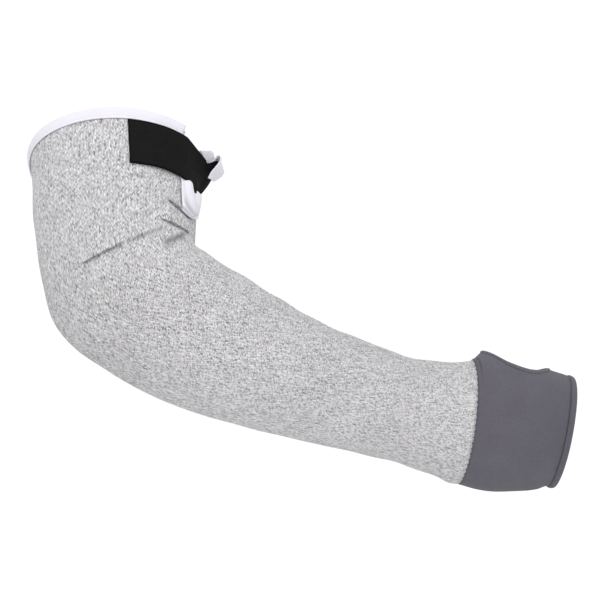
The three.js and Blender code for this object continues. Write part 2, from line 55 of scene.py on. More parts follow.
# The sleeve's surface, in millimetres
# along runs down the sleeve's middle, around is an angle: 0 at the crook, 90 degrees towards the
# viewer, 180 at the elbow
sleeve = {
    "lengths": {"upper": 48, "crook": 19, "forearm": 191, "cuff": 73.5},
    "widths": {"upper": 122, "crook": 102, "forearm": 96, "cuff": 91},
    "elbowTurn": 86,
    "knitWall": 1.5,
    "cuffWall": 1,
}
sectionColumns = ("leg", "step", "turn", "slope", "wide", "deep", "egg", "tilt")
sectionRows = [
    ("upper", 0, 0, 0, 1, 0.9, 0, 35),
    ("upper", 0.377, 0.013, -21, 0.912, 0.9, 0, 33),
    ("upper", 0.372, 0.034, -13, 0.87, 0.9, 0.03, 29),
    ("upper", 0.251, 0.087, -11, 0.838, 0.9, 0.06, 22),
    ("crook", 0.275, 0.212, -26, 0.99, 0.88, 0.1, 16),
    ("crook", 0.213, 0.347, -12, 1.01, 0.86, 0.13, 10),
    ("crook", 0.193, 0.463, 5, 1, 0.85, 0.14, 4),
    ("crook", 0.319, 0.578, 8, 0.966, 0.85, 0.13, -1),
    ("forearm", 0.066, 0.691, -4, 1, 0.86, 0.11, -4),
    ("forearm", 0.091, 0.777, -7, 0.967, 0.87, 0.09, -6),
    ("forearm", 0.11, 0.852, -16, 0.901, 0.88, 0.06, -7),
    ("forearm", 0.111, 0.922, -19.5, 0.845, 0.87, 0.04, -8),
    ("forearm", 0.115, 0.971, -22, 0.789, 0.85, 0.02, -8),
    ("forearm", 0.109, 0.993, -16, 0.766, 0.82, 0, -8),
    ("forearm", 0.109, 0.997, -18, 0.732, 0.78, 0, -9),
    ("forearm", 0.105, 0.991, -11, 0.739, 0.72, 0, -10),
    ("forearm", 0.088, 0.988, -1, 0.787, 0.64, 0, -11),
    ("forearm", 0.054, 0.974, 7, 0.83, 0.59, 0, -12),
    ("forearm", 0.042, 0.966, 16, 0.858, 0.56, 0, -13),
    ("cuff", 0.117, 1, 42, 0.994, 0.5, -0.04, -13),
    ("cuff", 0.195, 0.997, -7, 0.988, 0.47, -0.06, -12),
    ("cuff", 0.239, 0.978, -12, 0.933, 0.47, -0.06, -11),
    ("cuff", 0.211, 0.963, -9, 0.874, 0.48, -0.04, -10),
    ("cuff", 0.156, 0.923, -7, 0.825, 0.5, 0, -10),
    ("cuff", 0.082, 0.92, -11, 0.815, 0.51, 0, -10),
]


def placeSections():
    placed = []
    crook = np.array([sleeve["widths"]["upper"] / 2, 0.0])
    middle = np.zeros(2)
    along = away = 0.0
    for values in sectionRows:
        row = dict(zip(sectionColumns, values))
        fan = math.pi + math.radians(row["turn"] * sleeve["elbowTurn"])
        heading = fan + math.pi / 2 + math.radians(row["slope"])
        wide = row["wide"] * sleeve["widths"][row["leg"]]
        step = row["step"] * sleeve["lengths"][row["leg"]]
        tilt = math.radians(row["tilt"])
        crook = crook + step * np.array([math.cos(heading), math.sin(heading)])
        here = crook + np.array([math.cos(fan), math.sin(fan)]) * wide / 2
        if placed:
            moved = float(np.linalg.norm(here - middle))
            along += moved
            away -= moved * math.tan((tilt + placed[-1]["tilt"]) / 2)
        middle = here
        placed.append({
            "leg": row["leg"], "along": along, "x": here[0], "y": away, "z": here[1], "fan": fan,
            "wide": wide, "deep": wide * row["deep"], "egg": row["egg"], "tilt": tilt,
        })
    return placed


placedRows = placeSections()
columnNames = ("along", "x", "y", "z", "fan", "wide", "deep", "egg", "tilt")
placed = {name: np.array([row[name] for row in placedRows]) for name in columnNames}
seamAt = max(row["along"] for row in placedRows if row["leg"] == "forearm")
cuffEndAt = placedRows[-1]["along"]


def slopesOf(name):
    rise, run = np.diff(placed[name]), np.diff(placed["along"])
    slope = rise / run
    inner = (slope[:-1] * run[1:] + slope[1:] * run[:-1]) / (run[:-1] + run[1:])
    return np.concatenate([slope[:1], inner, slope[-1:]])


slopes = {name: slopesOf(name) for name in columnNames[1:]}


def columnAt(name, along):
    value, slope, at = placed[name], slopes[name], placed["along"]
    i = np.clip(np.searchsorted(at, along, side="right") - 1, 0, len(at) - 2)
    span = at[i + 1] - at[i]
    t = (along - at[i]) / span
    k = np.clip(t, 0, 1)
    rise = k * k * (3 - 2 * k)
    lean = k * (1 - k) * ((1 - k) * slope[i] - k * slope[i + 1]) * span
    past = np.where(t < 0, slope[i] * t, np.where(t > 1, slope[i + 1] * (t - 1), 0)) * span
    return value[i] + (value[i + 1] - value[i]) * rise + lean + past


def smoothPoint(along, around):
    along, around = np.broadcast_arrays(np.asarray(along, float), np.asarray(around, float))
    at = {name: columnAt(name, along) for name in columnNames[1:]}
    none = np.zeros_like(along)
    outward = np.stack([np.cos(at["fan"]), none, np.sin(at["fan"])], -1)
    onward = np.stack([-np.sin(at["fan"]), none, np.cos(at["fan"])], -1)
    nearer = np.stack([none, -np.cos(at["tilt"]), none], -1) - onward * np.sin(at["tilt"])[..., None]
    depth = at["deep"] / 2 * np.sin(around) * (1 + at["egg"] * np.cos(around))
    middle = np.stack([at["x"], at["y"], at["z"]], -1)
    return middle - outward * (at["wide"] / 2 * np.cos(around))[..., None] + nearer * depth[..., None]


nudge = 0.05


def lengthOf(vectors):
    return np.linalg.norm(vectors, axis=-1)


def unit(vectors):
    return vectors / np.maximum(lengthOf(vectors), 1e-12)[..., None]


def downAt(along, around):
    return (smoothPoint(along + nudge, around) - smoothPoint(along - nudge, around)) / (2 * nudge)


def roundAt(along, around):
    return (smoothPoint(along, around + nudge) - smoothPoint(along, around - nudge)) / (2 * nudge)


def alongBelowTop(distance):
    return distance / lengthOf(downAt(distance / 2, math.pi / 2))


def fade(t):
    t = np.clip(t, 0, 1)
    return t * t * (3 - 2 * t)


# Folds at the crook. They run from one angle to another, through three places along the sleeve.
# Above the line the cloth bulges by lip, below it the cloth sinks by sink, and tuck lets the upper
# side hang over the lower one.
foldColumns = ("from", "to", "start", "middle", "end", "lip", "sink", "lipWide", "sinkWide", "turn", "tuck")
foldRows = [
    (114, 74, 72.7, 70.9, 70.3, 1, 1.5, 6, 3.4, 1.1, 1.9),
    (92, 32, 71, 69.8, 63.5, 0.9, 1.5, 6, 6, 3, 0),
    (52, 8, 58.4, 60.9, 66.9, 1.2, 1.7, 4.5, 3, 1.1, 1.8),
    (48, 10, 43, 47.3, 49, 0.8, 1.5, 3, 2.6, 1.1, 1.4),
    (54, 12, 79.6, 76.2, 68.3, 1, 2.4, 6, 5, 3.4, 0),
    (105, 52, 88.4, 85.8, 81, 0.9, 1.4, 7, 7, 5, 0),
    (60, 30, 101.4, 94.3, 84.5, 0.9, 1.5, 6, 6, 5, 0),
    (114, 90, 93.5, 93.8, 93, 0.5, 0.9, 5, 5, 4, 0),
    (92, 55, 34.6, 35.6, 36.6, 0.3, 0.5, 3, 2.5, 1.5, 0.3),
    (-100, -30, 73.4, 70.2, 65, 1.4, 2, 6, 4, 1.3, 1.8),
    (-60, -8, 55.2, 58.5, 65, 1.2, 1.7, 5, 3, 1.2, 1.5),
    (-62, -12, 84.5, 78, 69.8, 0.9, 2.2, 6, 5, 3.5, 0),
]
folds = [dict(zip(foldColumns, row)) for row in foldRows]
# Painted shade along the creases: where the cloth is pinched, little light comes in. Dark over 1 widens the
# darkest part.
creaseShadeColumns = ("from", "to", "start", "middle", "end", "wide", "dark")
creaseShadeRows = [
    (113, 76, 72.6, 71.2, 70.7, 0.6, 1.9),
    (80, 38, 70.6, 69.6, 64.4, 1.5, 0.22),
    (51, 10, 58.9, 61.6, 67.3, 0.55, 1.9),
    (46, 12, 43.9, 48.1, 49.6, 0.75, 1.9),
    (48, 16, 79.3, 76, 69, 2.2, 0.4),
    (92, 55, 35, 36, 37, 0.6, 0.3),
    (-100, -34, 73.8, 70.6, 65.4, 0.6, 1.6),
    (-58, -10, 55.6, 58.9, 65.4, 0.6, 1.4),
]
creaseShades = [dict(zip(creaseShadeColumns, row)) for row in creaseShadeRows]
# A dark yarn speck and soft grey patches on the knit: their place, their length and girth in millimetres, and
# how dark
markRows = [
    (103.4, 155, 1.2, 0.6, 0.8), (313.7, -14, 2.2, 3.4, 0.3),
    (309, 2, 3, 2.4, 0.16), (263, 18, 3, 3.6, 0.18),
]
corner = {
    "angle": 9, "spread": 34, "reach": 9, "flare": 0.9,
    "pullAngle": -9, "pullSpread": 50, "pullAt": 9, "pull": 4.2, "pullReach": 5.5,
    "lowPull": 5.6, "lowAt": 17.5, "lowReach": 7.5,
}
thumbLift = {"height": 1.5, "at": 352, "length": 14, "angle": 25, "spread": 26}
uneven = {"seed": 7, "waves": 14, "height": 0.22, "cuffShare": 0.35, "shortest": 16, "longest": 60}


def degreesRound(around):
    return np.mod(np.degrees(around) + 180, 360) - 180


# How far a place lies below a fold's line, and how much of the fold is there
def pastFold(fold, along, around, stretch):
    share = (degreesRound(around) - fold["from"]) / (fold["to"] - fold["from"])
    bow = 4 * share * (1 - share)
    straight = fold["start"] + (fold["end"] - fold["start"]) * share
    line = straight + bow * (fold["middle"] - (fold["start"] + fold["end"]) / 2)
    ends = fade(share / 0.3) * fade((1 - share) / 0.25) * ((share > 0) & (share < 1))
    return (along - line) * stretch, ends


def foldShift(along, around):
    stretch = lengthOf(downAt(along, around))
    height, slide = np.zeros_like(stretch), np.zeros_like(stretch)
    for fold in folds:
        past, ends = pastFold(fold, along, around, stretch)
        over = fade(0.5 + past / fold["turn"])
        lip = fold["lip"] * np.exp(-((past / fold["lipWide"]) ** 2)) * (1 - over)
        sink = fold["sink"] * np.exp(-((past / fold["sinkWide"]) ** 2)) * over
        height += ends * (lip - sink)
        slide += ends * fold["tuck"] * np.exp(-((past / (0.6 * fold["lipWide"])) ** 2)) * (1 - over)
    return height, slide


# Painted shade along the creases, with the dark speck and grey patches of markRows, as a share of darkening
# per point
def creaseShade(along, around):
    stretch = lengthOf(downAt(along, around))
    total = np.zeros_like(stretch)
    for shadeAndSpecks in creaseShades:
        past, ends = pastFold(shadeAndSpecks, along, around, stretch)
        total = np.maximum(total, ends * shadeAndSpecks["dark"] * np.exp(-((past / shadeAndSpecks["wide"]) ** 2)))
    for markAt, angle, length, girth, dark in markRows:
        across = np.radians(degreesRound(around - math.radians(angle))) * lengthOf(roundAt(along, around))
        apart = ((along - markAt) * stretch / length) ** 2 + (across / girth) ** 2
        total = np.maximum(total, dark * np.exp(-apart))
    return np.clip(total, 0, 1)


# The cloth's corner beside the slit flares out above the strap, and the strap pulls it in below
def cornerShift(along, around):
    angle = degreesRound(around)
    below = along * float(lengthOf(downAt(0, math.pi / 2))) / corner["reach"]
    flare = corner["flare"] * fade(1 - np.abs(corner["angle"] - angle) / corner["spread"]) * fade(1 - below)
    pulled = corner["pull"] * np.exp(-(((along - corner["pullAt"]) / corner["pullReach"]) ** 2))
    pulled += corner["lowPull"] * np.exp(-(((along - corner["lowAt"]) / corner["lowReach"]) ** 2))
    return flare - pulled * fade(1 - np.abs(angle - corner["pullAngle"]) / corner["pullSpread"])


# The near lip of the thumb hole stands up
def thumbShift(along, around):
    beside = fade(1 - np.abs(degreesRound(around) - thumbLift["angle"]) / thumbLift["spread"])
    return thumbLift["height"] * beside * np.exp(-(((along - thumbLift["at"]) / thumbLift["length"]) ** 2))


waveRandom = np.random.default_rng(uneven["seed"])
waveTurns = waveRandom.integers(-6, 7, uneven["waves"])
waveLengths = waveRandom.uniform(uneven["shortest"], uneven["longest"], uneven["waves"])
wavePhases = waveRandom.uniform(0, 2 * math.pi, uneven["waves"])


def unevenHeight(along, around):
    total = np.zeros_like(np.asarray(along + around, float))
    for turns, length, phase in zip(waveTurns, waveLengths, wavePhases):
        total += np.sin(turns * around + 2 * math.pi * along / length + phase)
    calm = 1 - (1 - uneven["cuffShare"]) * fade((along - seamAt + 12) / 12)
    return uneven["height"] * calm * total / math.sqrt(uneven["waves"] / 2)


# A point of the cloth, raised off its outer face
def clothPoint(along, around, up=0.0):
    along, around, up = np.broadcast_arrays(*(np.asarray(values, float) for values in (along, around, up)))
    height, slide = foldShift(along, around)
    down = downAt(along, around)
    normal = unit(np.cross(roundAt(along, around), down))
    height = height + up + cornerShift(along, around) + thumbShift(along, around)
    height = height + unevenHeight(along, around)
    return smoothPoint(along, around) + normal * height[..., None] + unit(down) * slide[..., None]


# Slit and thumb hole edges
slit = {"depth": 52, "gape": 32, "roundness": 1.7, "topAngle": 28, "bottomAngle": 15}
thumb = {"start": 10, "length": 40, "width": 23, "nearShare": 0.8}
slitBottom = float(alongBelowTop(slit["depth"]))


def slitEdge(t):
    down = 1 - np.abs(t) ** slit["roundness"]
    middle = slit["topAngle"] + (slit["bottomAngle"] - slit["topAngle"]) * down
    halfTurn = slit["gape"] / sleeve["widths"]["upper"]
    return slitBottom * down, np.radians(middle) - halfTurn * t


def slitShareAt(along):
    return np.maximum(1 - along / slitBottom, 0) ** (1 / slit["roundness"])


thumbMiddle = seamAt + thumb["start"] + thumb["length"] / 2
thumbHalfTurn = thumb["width"] / 2 / float(lengthOf(roundAt(thumbMiddle, 0.0)))


def thumbEdge(t):
    angle = np.asarray(t) * 2 * math.pi
    across = np.sin(angle)
    nearer = np.where(across > 0, thumb["nearShare"], 1)
    return thumbMiddle - thumb["length"] / 2 * np.cos(angle), thumbHalfTurn * nearer * across


# Surface places beside an edge's curve, a distance into the cloth from it
def besideEdge(curve, t, inward):
    (a0, r0), (a1, r1), (a2, r2) = curve(t - 0.001), curve(t), curve(t + 0.001)
    stretch, girth = lengthOf(downAt(a1, r1)), lengthOf(roundAt(a1, r1))
    way = unit(np.stack([(r2 - r0) * girth, (a2 - a0) * stretch], -1))
    return a1 - way[..., 0] * inward / stretch, r1 + way[..., 1] * inward / girth


# Mesh helpers
def meshObject(name, points, faces, uvs, material):
    mesh = bpy.data.meshes.new(name)
    mesh.from_pydata((np.asarray(points) * mm).tolist(), [], faces)
    layer = mesh.uv_layers.new(name="cloth")
    layer.data.foreach_set("uv", np.asarray(uvs, np.float32).ravel())
    mesh.polygons.foreach_set("use_smooth", np.ones(len(mesh.polygons), bool))
    mesh.materials.append(material)
    mesh.update()
    made = bpy.data.objects.new(name, mesh)
    bpy.context.scene.collection.objects.link(made)
    return made


def signedVolume(points, faces):
    total = 0.0
    quads = np.array([f if len(f) == 4 else (*f, f[-1]) for f in faces])
    a, b, c, d = (points[quads[:, i]] for i in range(4))
    total += np.einsum("ij,ij->i", a, np.cross(b, c)).sum()
    total += np.einsum("ij,ij->i", a, np.cross(c, d)).sum()
    return total


def turnedOutward(points, faces, uvs):
    if signedVolume(points, faces) > 0:
        return faces, uvs
    at, turnedUvs, turned = 0, [], []
    for face in faces:
        turned.append(tuple(reversed(face)))
        turnedUvs.extend(reversed(uvs[at:at + len(face)]))
        at += len(face)
    return turned, turnedUvs


# A wall of cloth: an outer and an inner grid, closed round the columns, with a rim at every edge.
# keep says which quads are cloth.
def clothWall(name, outer, inner, uv, shadeAndSpecks, keep, material):
    rows, columns = outer.shape[:2]
    r, c = np.nonzero(keep)
    corners = [(r, c), (r, c + 1), (r + 1, c + 1), (r + 1, c)]
    quads = np.stack([i * columns + j % columns for i, j in corners], 1)
    quadUvs = np.stack([uv[i, j] for i, j in corners], 1)
    count = rows * columns
    starts, ends = quads, np.roll(quads, -1, axis=1)
    keys, opposite = starts * count + ends, ends * count + starts
    loose = ~np.isin(keys, opposite)
    rim = np.stack([ends[loose], starts[loose], starts[loose] + count, ends[loose] + count], 1)
    uvStart, uvEnd = quadUvs[loose], np.roll(quadUvs, -1, axis=1)[loose]
    rimUvs = np.stack([uvEnd, uvStart, uvStart, uvEnd], 1)
    faces = np.concatenate([quads, quads[:, ::-1] + count, rim])
    uvs = np.concatenate([quadUvs, quadUvs[:, ::-1], rimUvs])
    points = np.concatenate([outer.reshape(-1, 3), inner.reshape(-1, 3)])
    used, faces = np.unique(faces, return_inverse=True)
    faces, points = faces.reshape(-1, 4), points[used]
    if signedVolume(points, faces) < 0:
        faces, uvs = faces[:, ::-1], uvs[:, ::-1]
    made = meshObject(name, points, faces.tolist(), uvs, material)
    # Painted shade and dark specks, one value per point, kept as an attribute for the materials
    shade = np.concatenate([shadeAndSpecks.ravel(), np.zeros(count)])[used]
    made.data.attributes.new("shadeAndSpecks", "FLOAT", "POINT").data.foreach_set("value", shade.astype(np.float32))
    return made


# A line through points, rounded at each of them
def smoothLine(points, count):
    points = np.asarray(points, float)
    padded = np.concatenate([2 * points[:1] - points[1:2], points, 2 * points[-1:] - points[-2:-1]])
    t = np.linspace(0, len(points) - 1, count)
    i = np.minimum(t.astype(int), len(points) - 2)
    f = (t - i)[:, None]
    a, b, c, d = padded[i], padded[i + 1], padded[i + 2], padded[i + 3]
    square = (2 * a - 5 * b + 4 * c - d) * f ** 2
    cube = (3 * b - a - 3 * c + d) * f ** 3
    return 0.5 * (2 * b + (c - a) * f + square + cube)


# Offsets either side of a line of a tape's section, with its two edges rounded
def tapeSides(line, thick):
    steps = lengthOf(np.diff(line, axis=0))
    gone = np.concatenate([[0], np.cumsum(steps)])
    left = np.minimum(gone, gone[-1] - gone)
    near = np.clip(left / (thick / 2), 0, 1)
    half = thick / 2 * np.sqrt(1 - (1 - near) ** 2)
    way = unit(np.gradient(line, axis=0))
    side = np.stack([-way[:, 1], way[:, 0]], 1) * half[:, None]
    return line - side, line + side, gone


# A closed tape: upper and lower grids of points, rings by places across
def tape(name, upper, lower, gone, run, material, looped=False, shadeAndSpecks=None):
    rings, across = upper.shape[:2]
    size = 2 * across - 2
    ring = np.concatenate([upper, lower[:, -2:0:-1]], 1)
    points = ring.reshape(-1, 3)
    girthUv = np.concatenate([gone, gone[-2:0:-1], gone[:1]])
    faces, uvs = [], []
    for i in range(rings if looped else rings - 1):
        k = (i + 1) % rings
        for j in range(size):
            n = (j + 1) % size
            faces.append((i * size + j, i * size + n, k * size + n, k * size + j))
            uvs += [(run[i], girthUv[j]), (run[i], girthUv[j + 1])]
            uvs += [(run[i + 1], girthUv[j + 1]), (run[i + 1], girthUv[j])]
    if not looped:
        for end, flip in ((0, True), (rings - 1, False)):
            for j in range(across - 1):
                low, lowNext = (size - j) % size, size - j - 1
                capCorners = dict.fromkeys((j, j + 1, lowNext if j < across - 2 else j + 1, low))
                cap = [end * size + k for k in capCorners]
                cap = cap[::-1] if flip else cap
                faces.append(tuple(cap))
                uvs += [(run[end], gone[j])] * len(cap)
    faces, uvs = turnedOutward(points, faces, uvs)
    made = meshObject(name, points, faces, uvs, material)
    # Painted shade for the points of the upper side, kept as an attribute for the material
    if shadeAndSpecks is not None:
        shade = np.concatenate([shadeAndSpecks, np.zeros((rings, across - 2))], 1).astype(np.float32)
        made.data.attributes.new("shadeAndSpecks", "FLOAT", "POINT").data.foreach_set("value", shade.ravel())
    return made


def runAlong(points):
    return np.concatenate([[0], np.cumsum(lengthOf(np.diff(points, axis=0)))])


print("surface ready")


# Materials
def addNode(tree, kind, inputs=None, **settings):
    node = tree.nodes.new(kind)
    for name, value in settings.items():
        setattr(node, name, value)
    for name, value in (inputs or {}).items():
        if isinstance(value, bpy.types.NodeSocket):
            tree.links.new(value, node.inputs[name])
        else:
            node.inputs[name].default_value = value
    return node


def calc(tree, operation, *values):
    node = addNode(tree, "ShaderNodeMath", dict(enumerate(values)), operation=operation)
    return node.outputs[0]


def remap(tree, value, fromLow, fromHigh, toLow, toHigh, kind="LINEAR"):
    node = addNode(tree, "ShaderNodeMapRange", {
        "Value": value, "From Min": fromLow, "From Max": fromHigh, "To Min": toLow, "To Max": toHigh,
    }, interpolation_type=kind)
    return node.outputs[0]


def newGroup(name, inputs, outputs):
    group = bpy.data.node_groups.new(name, "ShaderNodeTree")
    for label, kind, value in inputs:
        socket = group.interface.new_socket(label, in_out="INPUT", socket_type=kind)
        if value is not None:
            socket.default_value = value
    for label, kind in outputs:
        group.interface.new_socket(label, in_out="OUTPUT", socket_type=kind)
    return group, group.nodes.new("NodeGroupInput").outputs, group.nodes.new("NodeGroupOutput").inputs


# Plain knit: each wale is a column of V shaped stitches, and each leg of the V has its own yarn
def makeKnitGroup():
    group, given, out = newGroup(
        "knitStitches",
        [("Wales", "NodeSocketFloat", 0), ("Courses", "NodeSocketFloat", 0),
          ("Slant", "NodeSocketFloat", 0.9),
         ("Yarn Length", "NodeSocketFloat", 2), ("Seed", "NodeSocketFloat", 0)],
        [("Yarn", "NodeSocketFloat"), ("Height", "NodeSocketFloat"), ("Groove", "NodeSocketFloat")],
    )
    legs = calc(group, "MULTIPLY", given["Wales"], 2)
    leg = calc(group, "FLOOR", legs)
    inLeg = calc(group, "FRACT", legs)
    inWale = calc(group, "FRACT", given["Wales"])
    peak = calc(group, "SUBTRACT", 1, calc(group, "ABSOLUTE", calc(group, "MULTIPLY_ADD", inWale, 2, -1)))
    run = calc(group, "MULTIPLY_ADD", peak, given["Slant"], given["Courses"])
    yarnRun = calc(group, "DIVIDE", run, given["Yarn Length"])
    place = addNode(group, "ShaderNodeCombineXYZ", {
        "X": calc(group, "MULTIPLY_ADD", leg, 7.317, given["Seed"]), "Y": yarnRun, "Z": 0,
    })
    noise = addNode(group, "ShaderNodeTexNoise", {
        "Vector": place.outputs[0], "Scale": 1.0, "Detail": 1.5, "Roughness": 0.6,
    }, noise_dimensions="2D")
    across = calc(group, "MULTIPLY_ADD", inLeg, 2, -1)
    legRidge = calc(group, "SUBTRACT", 1, calc(group, "MULTIPLY", across, across))
    lengthways = calc(group, "MULTIPLY_ADD", calc(group, "FRACT", run), 2, -1)
    stitchRidge = calc(group, "SUBTRACT", 1, calc(group, "MULTIPLY", lengthways, lengthways))
    groove = remap(group, peak, 0, 0.35, 1, 0, "SMOOTHSTEP")
    height = calc(group, "MULTIPLY", legRidge, calc(group, "MULTIPLY_ADD", stitchRidge, 0.4, 0.6))
    group.links.new(noise.outputs[0], out["Yarn"])
    group.links.new(calc(group, "SUBTRACT", height, calc(group, "MULTIPLY", groove, 0.5)), out["Height"])
    group.links.new(groove, out["Groove"])
    return group


# Large soft differences of tone
def makeToneGroup():
    group, given, out = newGroup(
        "unevenTone",
        [("Place", "NodeSocketVector", None), ("Size", "NodeSocketFloat", 0.03),
          ("Amount", "NodeSocketFloat", 0.05),
         ("Color", "NodeSocketColor", (1, 1, 1, 1))],
        [("Color", "NodeSocketColor")],
    )
    noise = addNode(group, "ShaderNodeTexNoise", {
        "Vector": given["Place"], "Scale": calc(group, "DIVIDE", 1, given["Size"]), "Detail": 2,
    })
    low = calc(group, "SUBTRACT", 1, given["Amount"])
    high = calc(group, "ADD", 1, given["Amount"])
    factor = remap(group, noise.outputs[0], 0.3, 0.7, low, high)
    scaled = addNode(group, "ShaderNodeVectorMath", {0: given["Color"], 1: factor}, operation="MULTIPLY")
    group.links.new(scaled.outputs[0], out["Color"])
    return group


# Woven tape: threads across and along, as a height and a shade
def makeWeaveGroup():
    group, given, out = newGroup(
        "wovenTape",
        [("Along", "NodeSocketFloat", 0), ("Across", "NodeSocketFloat", 0),
          ("Thread Along", "NodeSocketFloat", 0.8),
         ("Thread Across", "NodeSocketFloat", 0.5)],
        [("Height", "NodeSocketFloat"), ("Fleck", "NodeSocketFloat")],
    )
    along = calc(group, "DIVIDE", given["Along"], given["Thread Along"])
    across = calc(group, "DIVIDE", given["Across"], given["Thread Across"])
    row = calc(group, "FLOOR", across)
    shifted = calc(group, "MULTIPLY_ADD", row, 0.5, along)
    a = calc(group, "ABSOLUTE", calc(group, "MULTIPLY_ADD", calc(group, "FRACT", shifted), 2, -1))
    b = calc(group, "ABSOLUTE", calc(group, "MULTIPLY_ADD", calc(group, "FRACT", across), 2, -1))
    bump = calc(group, "MULTIPLY", calc(group, "SUBTRACT", 1, calc(group, "MULTIPLY", a, a)),
                calc(group, "SUBTRACT", 1, calc(group, "MULTIPLY", b, b)))
    cell = addNode(group, "ShaderNodeCombineXYZ", {"X": calc(group, "FLOOR", shifted), "Y": row, "Z": 0})
    fleck = addNode(group, "ShaderNodeTexWhiteNoise", {"Vector": cell.outputs[0]}, noise_dimensions="2D")
    group.links.new(bump, out["Height"])
    group.links.new(fleck.outputs["Value"], out["Fleck"])
    return group


knitGroup, toneGroup, weaveGroup = makeKnitGroup(), makeToneGroup(), makeWeaveGroup()


def newMaterial(name, **sockets):
    material = bpy.data.materials.new(name)
    material.use_nodes = True
    tree = material.node_tree
    shader = tree.nodes["Principled BSDF"]
    for label, value in sockets.items():
        shader.inputs[label.replace("_", " ")].default_value = value
    uv = addNode(tree, "ShaderNodeUVMap", uv_map="cloth")
    split = addNode(tree, "ShaderNodeSeparateXYZ", {0: uv.outputs[0]})
    place = addNode(tree, "ShaderNodeTexCoord").outputs["Object"]
    return material, tree, shader, split.outputs, place


def addGroup(tree, group, **inputs):
    node = addNode(tree, "ShaderNodeGroup", node_tree=group)
    for label, value in inputs.items():
        socket = node.inputs[label.replace("_", " ")]
        if isinstance(value, bpy.types.NodeSocket):
            tree.links.new(value, socket)
        else:
            socket.default_value = value
    return node.outputs


def mixColors(tree, factor, a, b):
    node = addNode(tree, "ShaderNodeMix", data_type="RGBA")
    for socket, value in ((node.inputs[0], factor), (node.inputs[6], a), (node.inputs[7], b)):
        if isinstance(value, bpy.types.NodeSocket):
            tree.links.new(value, socket)
        else:
            socket.default_value = value
    return node.outputs[2]


def addBump(tree, shader, height, distance, strength=1.0):
    bump = addNode(tree, "ShaderNodeBump", {"Height": height, "Distance": distance, "Strength": strength})
    tree.links.new(bump.outputs[0], shader.inputs["Normal"])
    return bump


# Darkens a colour towards near black by the crease point attribute: painted shade in creases, grooves and
# beside welts, and dark specks on the knit
def paintShadeAndSpecks(tree, color, depth):
    attribute = addNode(tree, "ShaderNodeAttribute", attribute_name="shadeAndSpecks")
    dark = calc(tree, "MULTIPLY", attribute.outputs["Fac"], depth)
    return mixColors(tree, dark, color, (0.02, 0.02, 0.024, 1))


# groove is how far painted shade darkens the grooves between the wales
knitYarn = {
    "light": (1, 0.985, 1, 1), "middle": (0.66, 0.645, 0.665, 1), "dark": (0.16, 0.155, 0.175, 1),
    "groove": 0.12, "slant": 1.15, "yarnLength": 0.56, "relief": 0.0005,
}


def makeKnitMaterial():
    material, tree, shader, uv, place = newMaterial(
        "knitYarn", Roughness=0.92, Sheen_Weight=0.15, Sheen_Roughness=0.6)
    stitch = addGroup(tree, knitGroup, Wales=uv["X"], Courses=uv["Y"], Slant=knitYarn["slant"],
                      Yarn_Length=knitYarn["yarnLength"], Seed=3)
    # White and grey mélange yarn at random along each leg; the lightest legs are also a painted highlight on
    # the lit tops of the yarn
    darker = remap(tree, stitch["Yarn"], 0.35, 0.47, 1, 0)
    lighter = remap(tree, stitch["Yarn"], 0.5, 0.61, 0, 1)
    color = mixColors(tree, darker, knitYarn["middle"], knitYarn["dark"])
    color = mixColors(tree, lighter, color, knitYarn["light"])
    # Painted shade in the grooves between the wales
    shade = calc(tree, "MULTIPLY", stitch["Groove"], knitYarn["groove"])
    color = mixColors(tree, shade, color, (0.12, 0.12, 0.13, 1))
    nearWrist = remap(tree, uv["Y"], 90, 225, 1, 1.22)
    scaled = addNode(tree, "ShaderNodeVectorMath", {0: color, 1: nearWrist}, operation="MULTIPLY")
    toned = addGroup(tree, toneGroup, Place=place, Size=0.035, Amount=0.03, Color=scaled.outputs[0])
    tree.links.new(paintShadeAndSpecks(tree, toned["Color"], 0.92), shader.inputs["Base Color"])
    addBump(tree, shader, stitch["Height"], knitYarn["relief"])
    return material


whiteElastic = {
    "color": (0.77, 0.755, 0.815, 1), "shade": (0.67, 0.655, 0.73, 1),
    "threadAlong": 1.1, "threadAcross": 0.7,
}


def makeElasticMaterial():
    material, tree, shader, uv, place = newMaterial("whiteElastic", Roughness=0.85, Specular_IOR_Level=0.2)
    weave = addGroup(tree, weaveGroup, Along=uv["X"], Across=uv["Y"],
                     Thread_Along=whiteElastic["threadAlong"],
                     Thread_Across=whiteElastic["threadAcross"])
    # Painted shade in the gaps between the threads
    threadGapShade = remap(tree, weave["Height"], 0, 0.5, 0.22, 0)
    color = mixColors(tree, threadGapShade, whiteElastic["color"], whiteElastic["shade"])
    toned = addGroup(tree, toneGroup, Place=place, Size=0.012, Amount=0.015, Color=color)
    tree.links.new(paintShadeAndSpecks(tree, toned["Color"], 0.5), shader.inputs["Base Color"])
    addBump(tree, shader, weave["Height"], 0.00012)
    return material


blackTape = {
    "color": (0.0075, 0.0075, 0.008, 1), "fleck": (0.015, 0.015, 0.0165, 1),
    "border": (0.003, 0.003, 0.0034, 1), "thread": 0.6,
}


strapWidth = 31.9


def makeTapeMaterial():
    material, tree, shader, uv, place = newMaterial("blackTape", Roughness=0.9, Specular_IOR_Level=0.08)
    weave = addGroup(tree, weaveGroup, Along=uv["X"], Across=uv["Y"], Thread_Along=blackTape["thread"],
                     Thread_Across=blackTape["thread"])
    mixed = calc(tree, "MULTIPLY", weave["Height"], weave["Fleck"])
    color = mixColors(tree, mixed, blackTape["color"], blackTape["fleck"])
    toEdge = calc(tree, "MINIMUM", uv["Y"], calc(tree, "SUBTRACT", strapWidth, uv["Y"]))
    border = remap(tree, calc(tree, "MINIMUM", toEdge, uv["X"]), 0.9, 1.4, 0.8, 0)
    color = mixColors(tree, border, color, blackTape["border"])
    toned = addGroup(tree, toneGroup, Place=place, Size=0.01, Amount=0.08, Color=color)
    tree.links.new(toned["Color"], shader.inputs["Base Color"])
    addBump(tree, shader, weave["Height"], 0.00015)
    return material


greyCloth = {"color": (0.138, 0.13, 0.163, 1), "shade": (0.105, 0.098, 0.124, 1)}


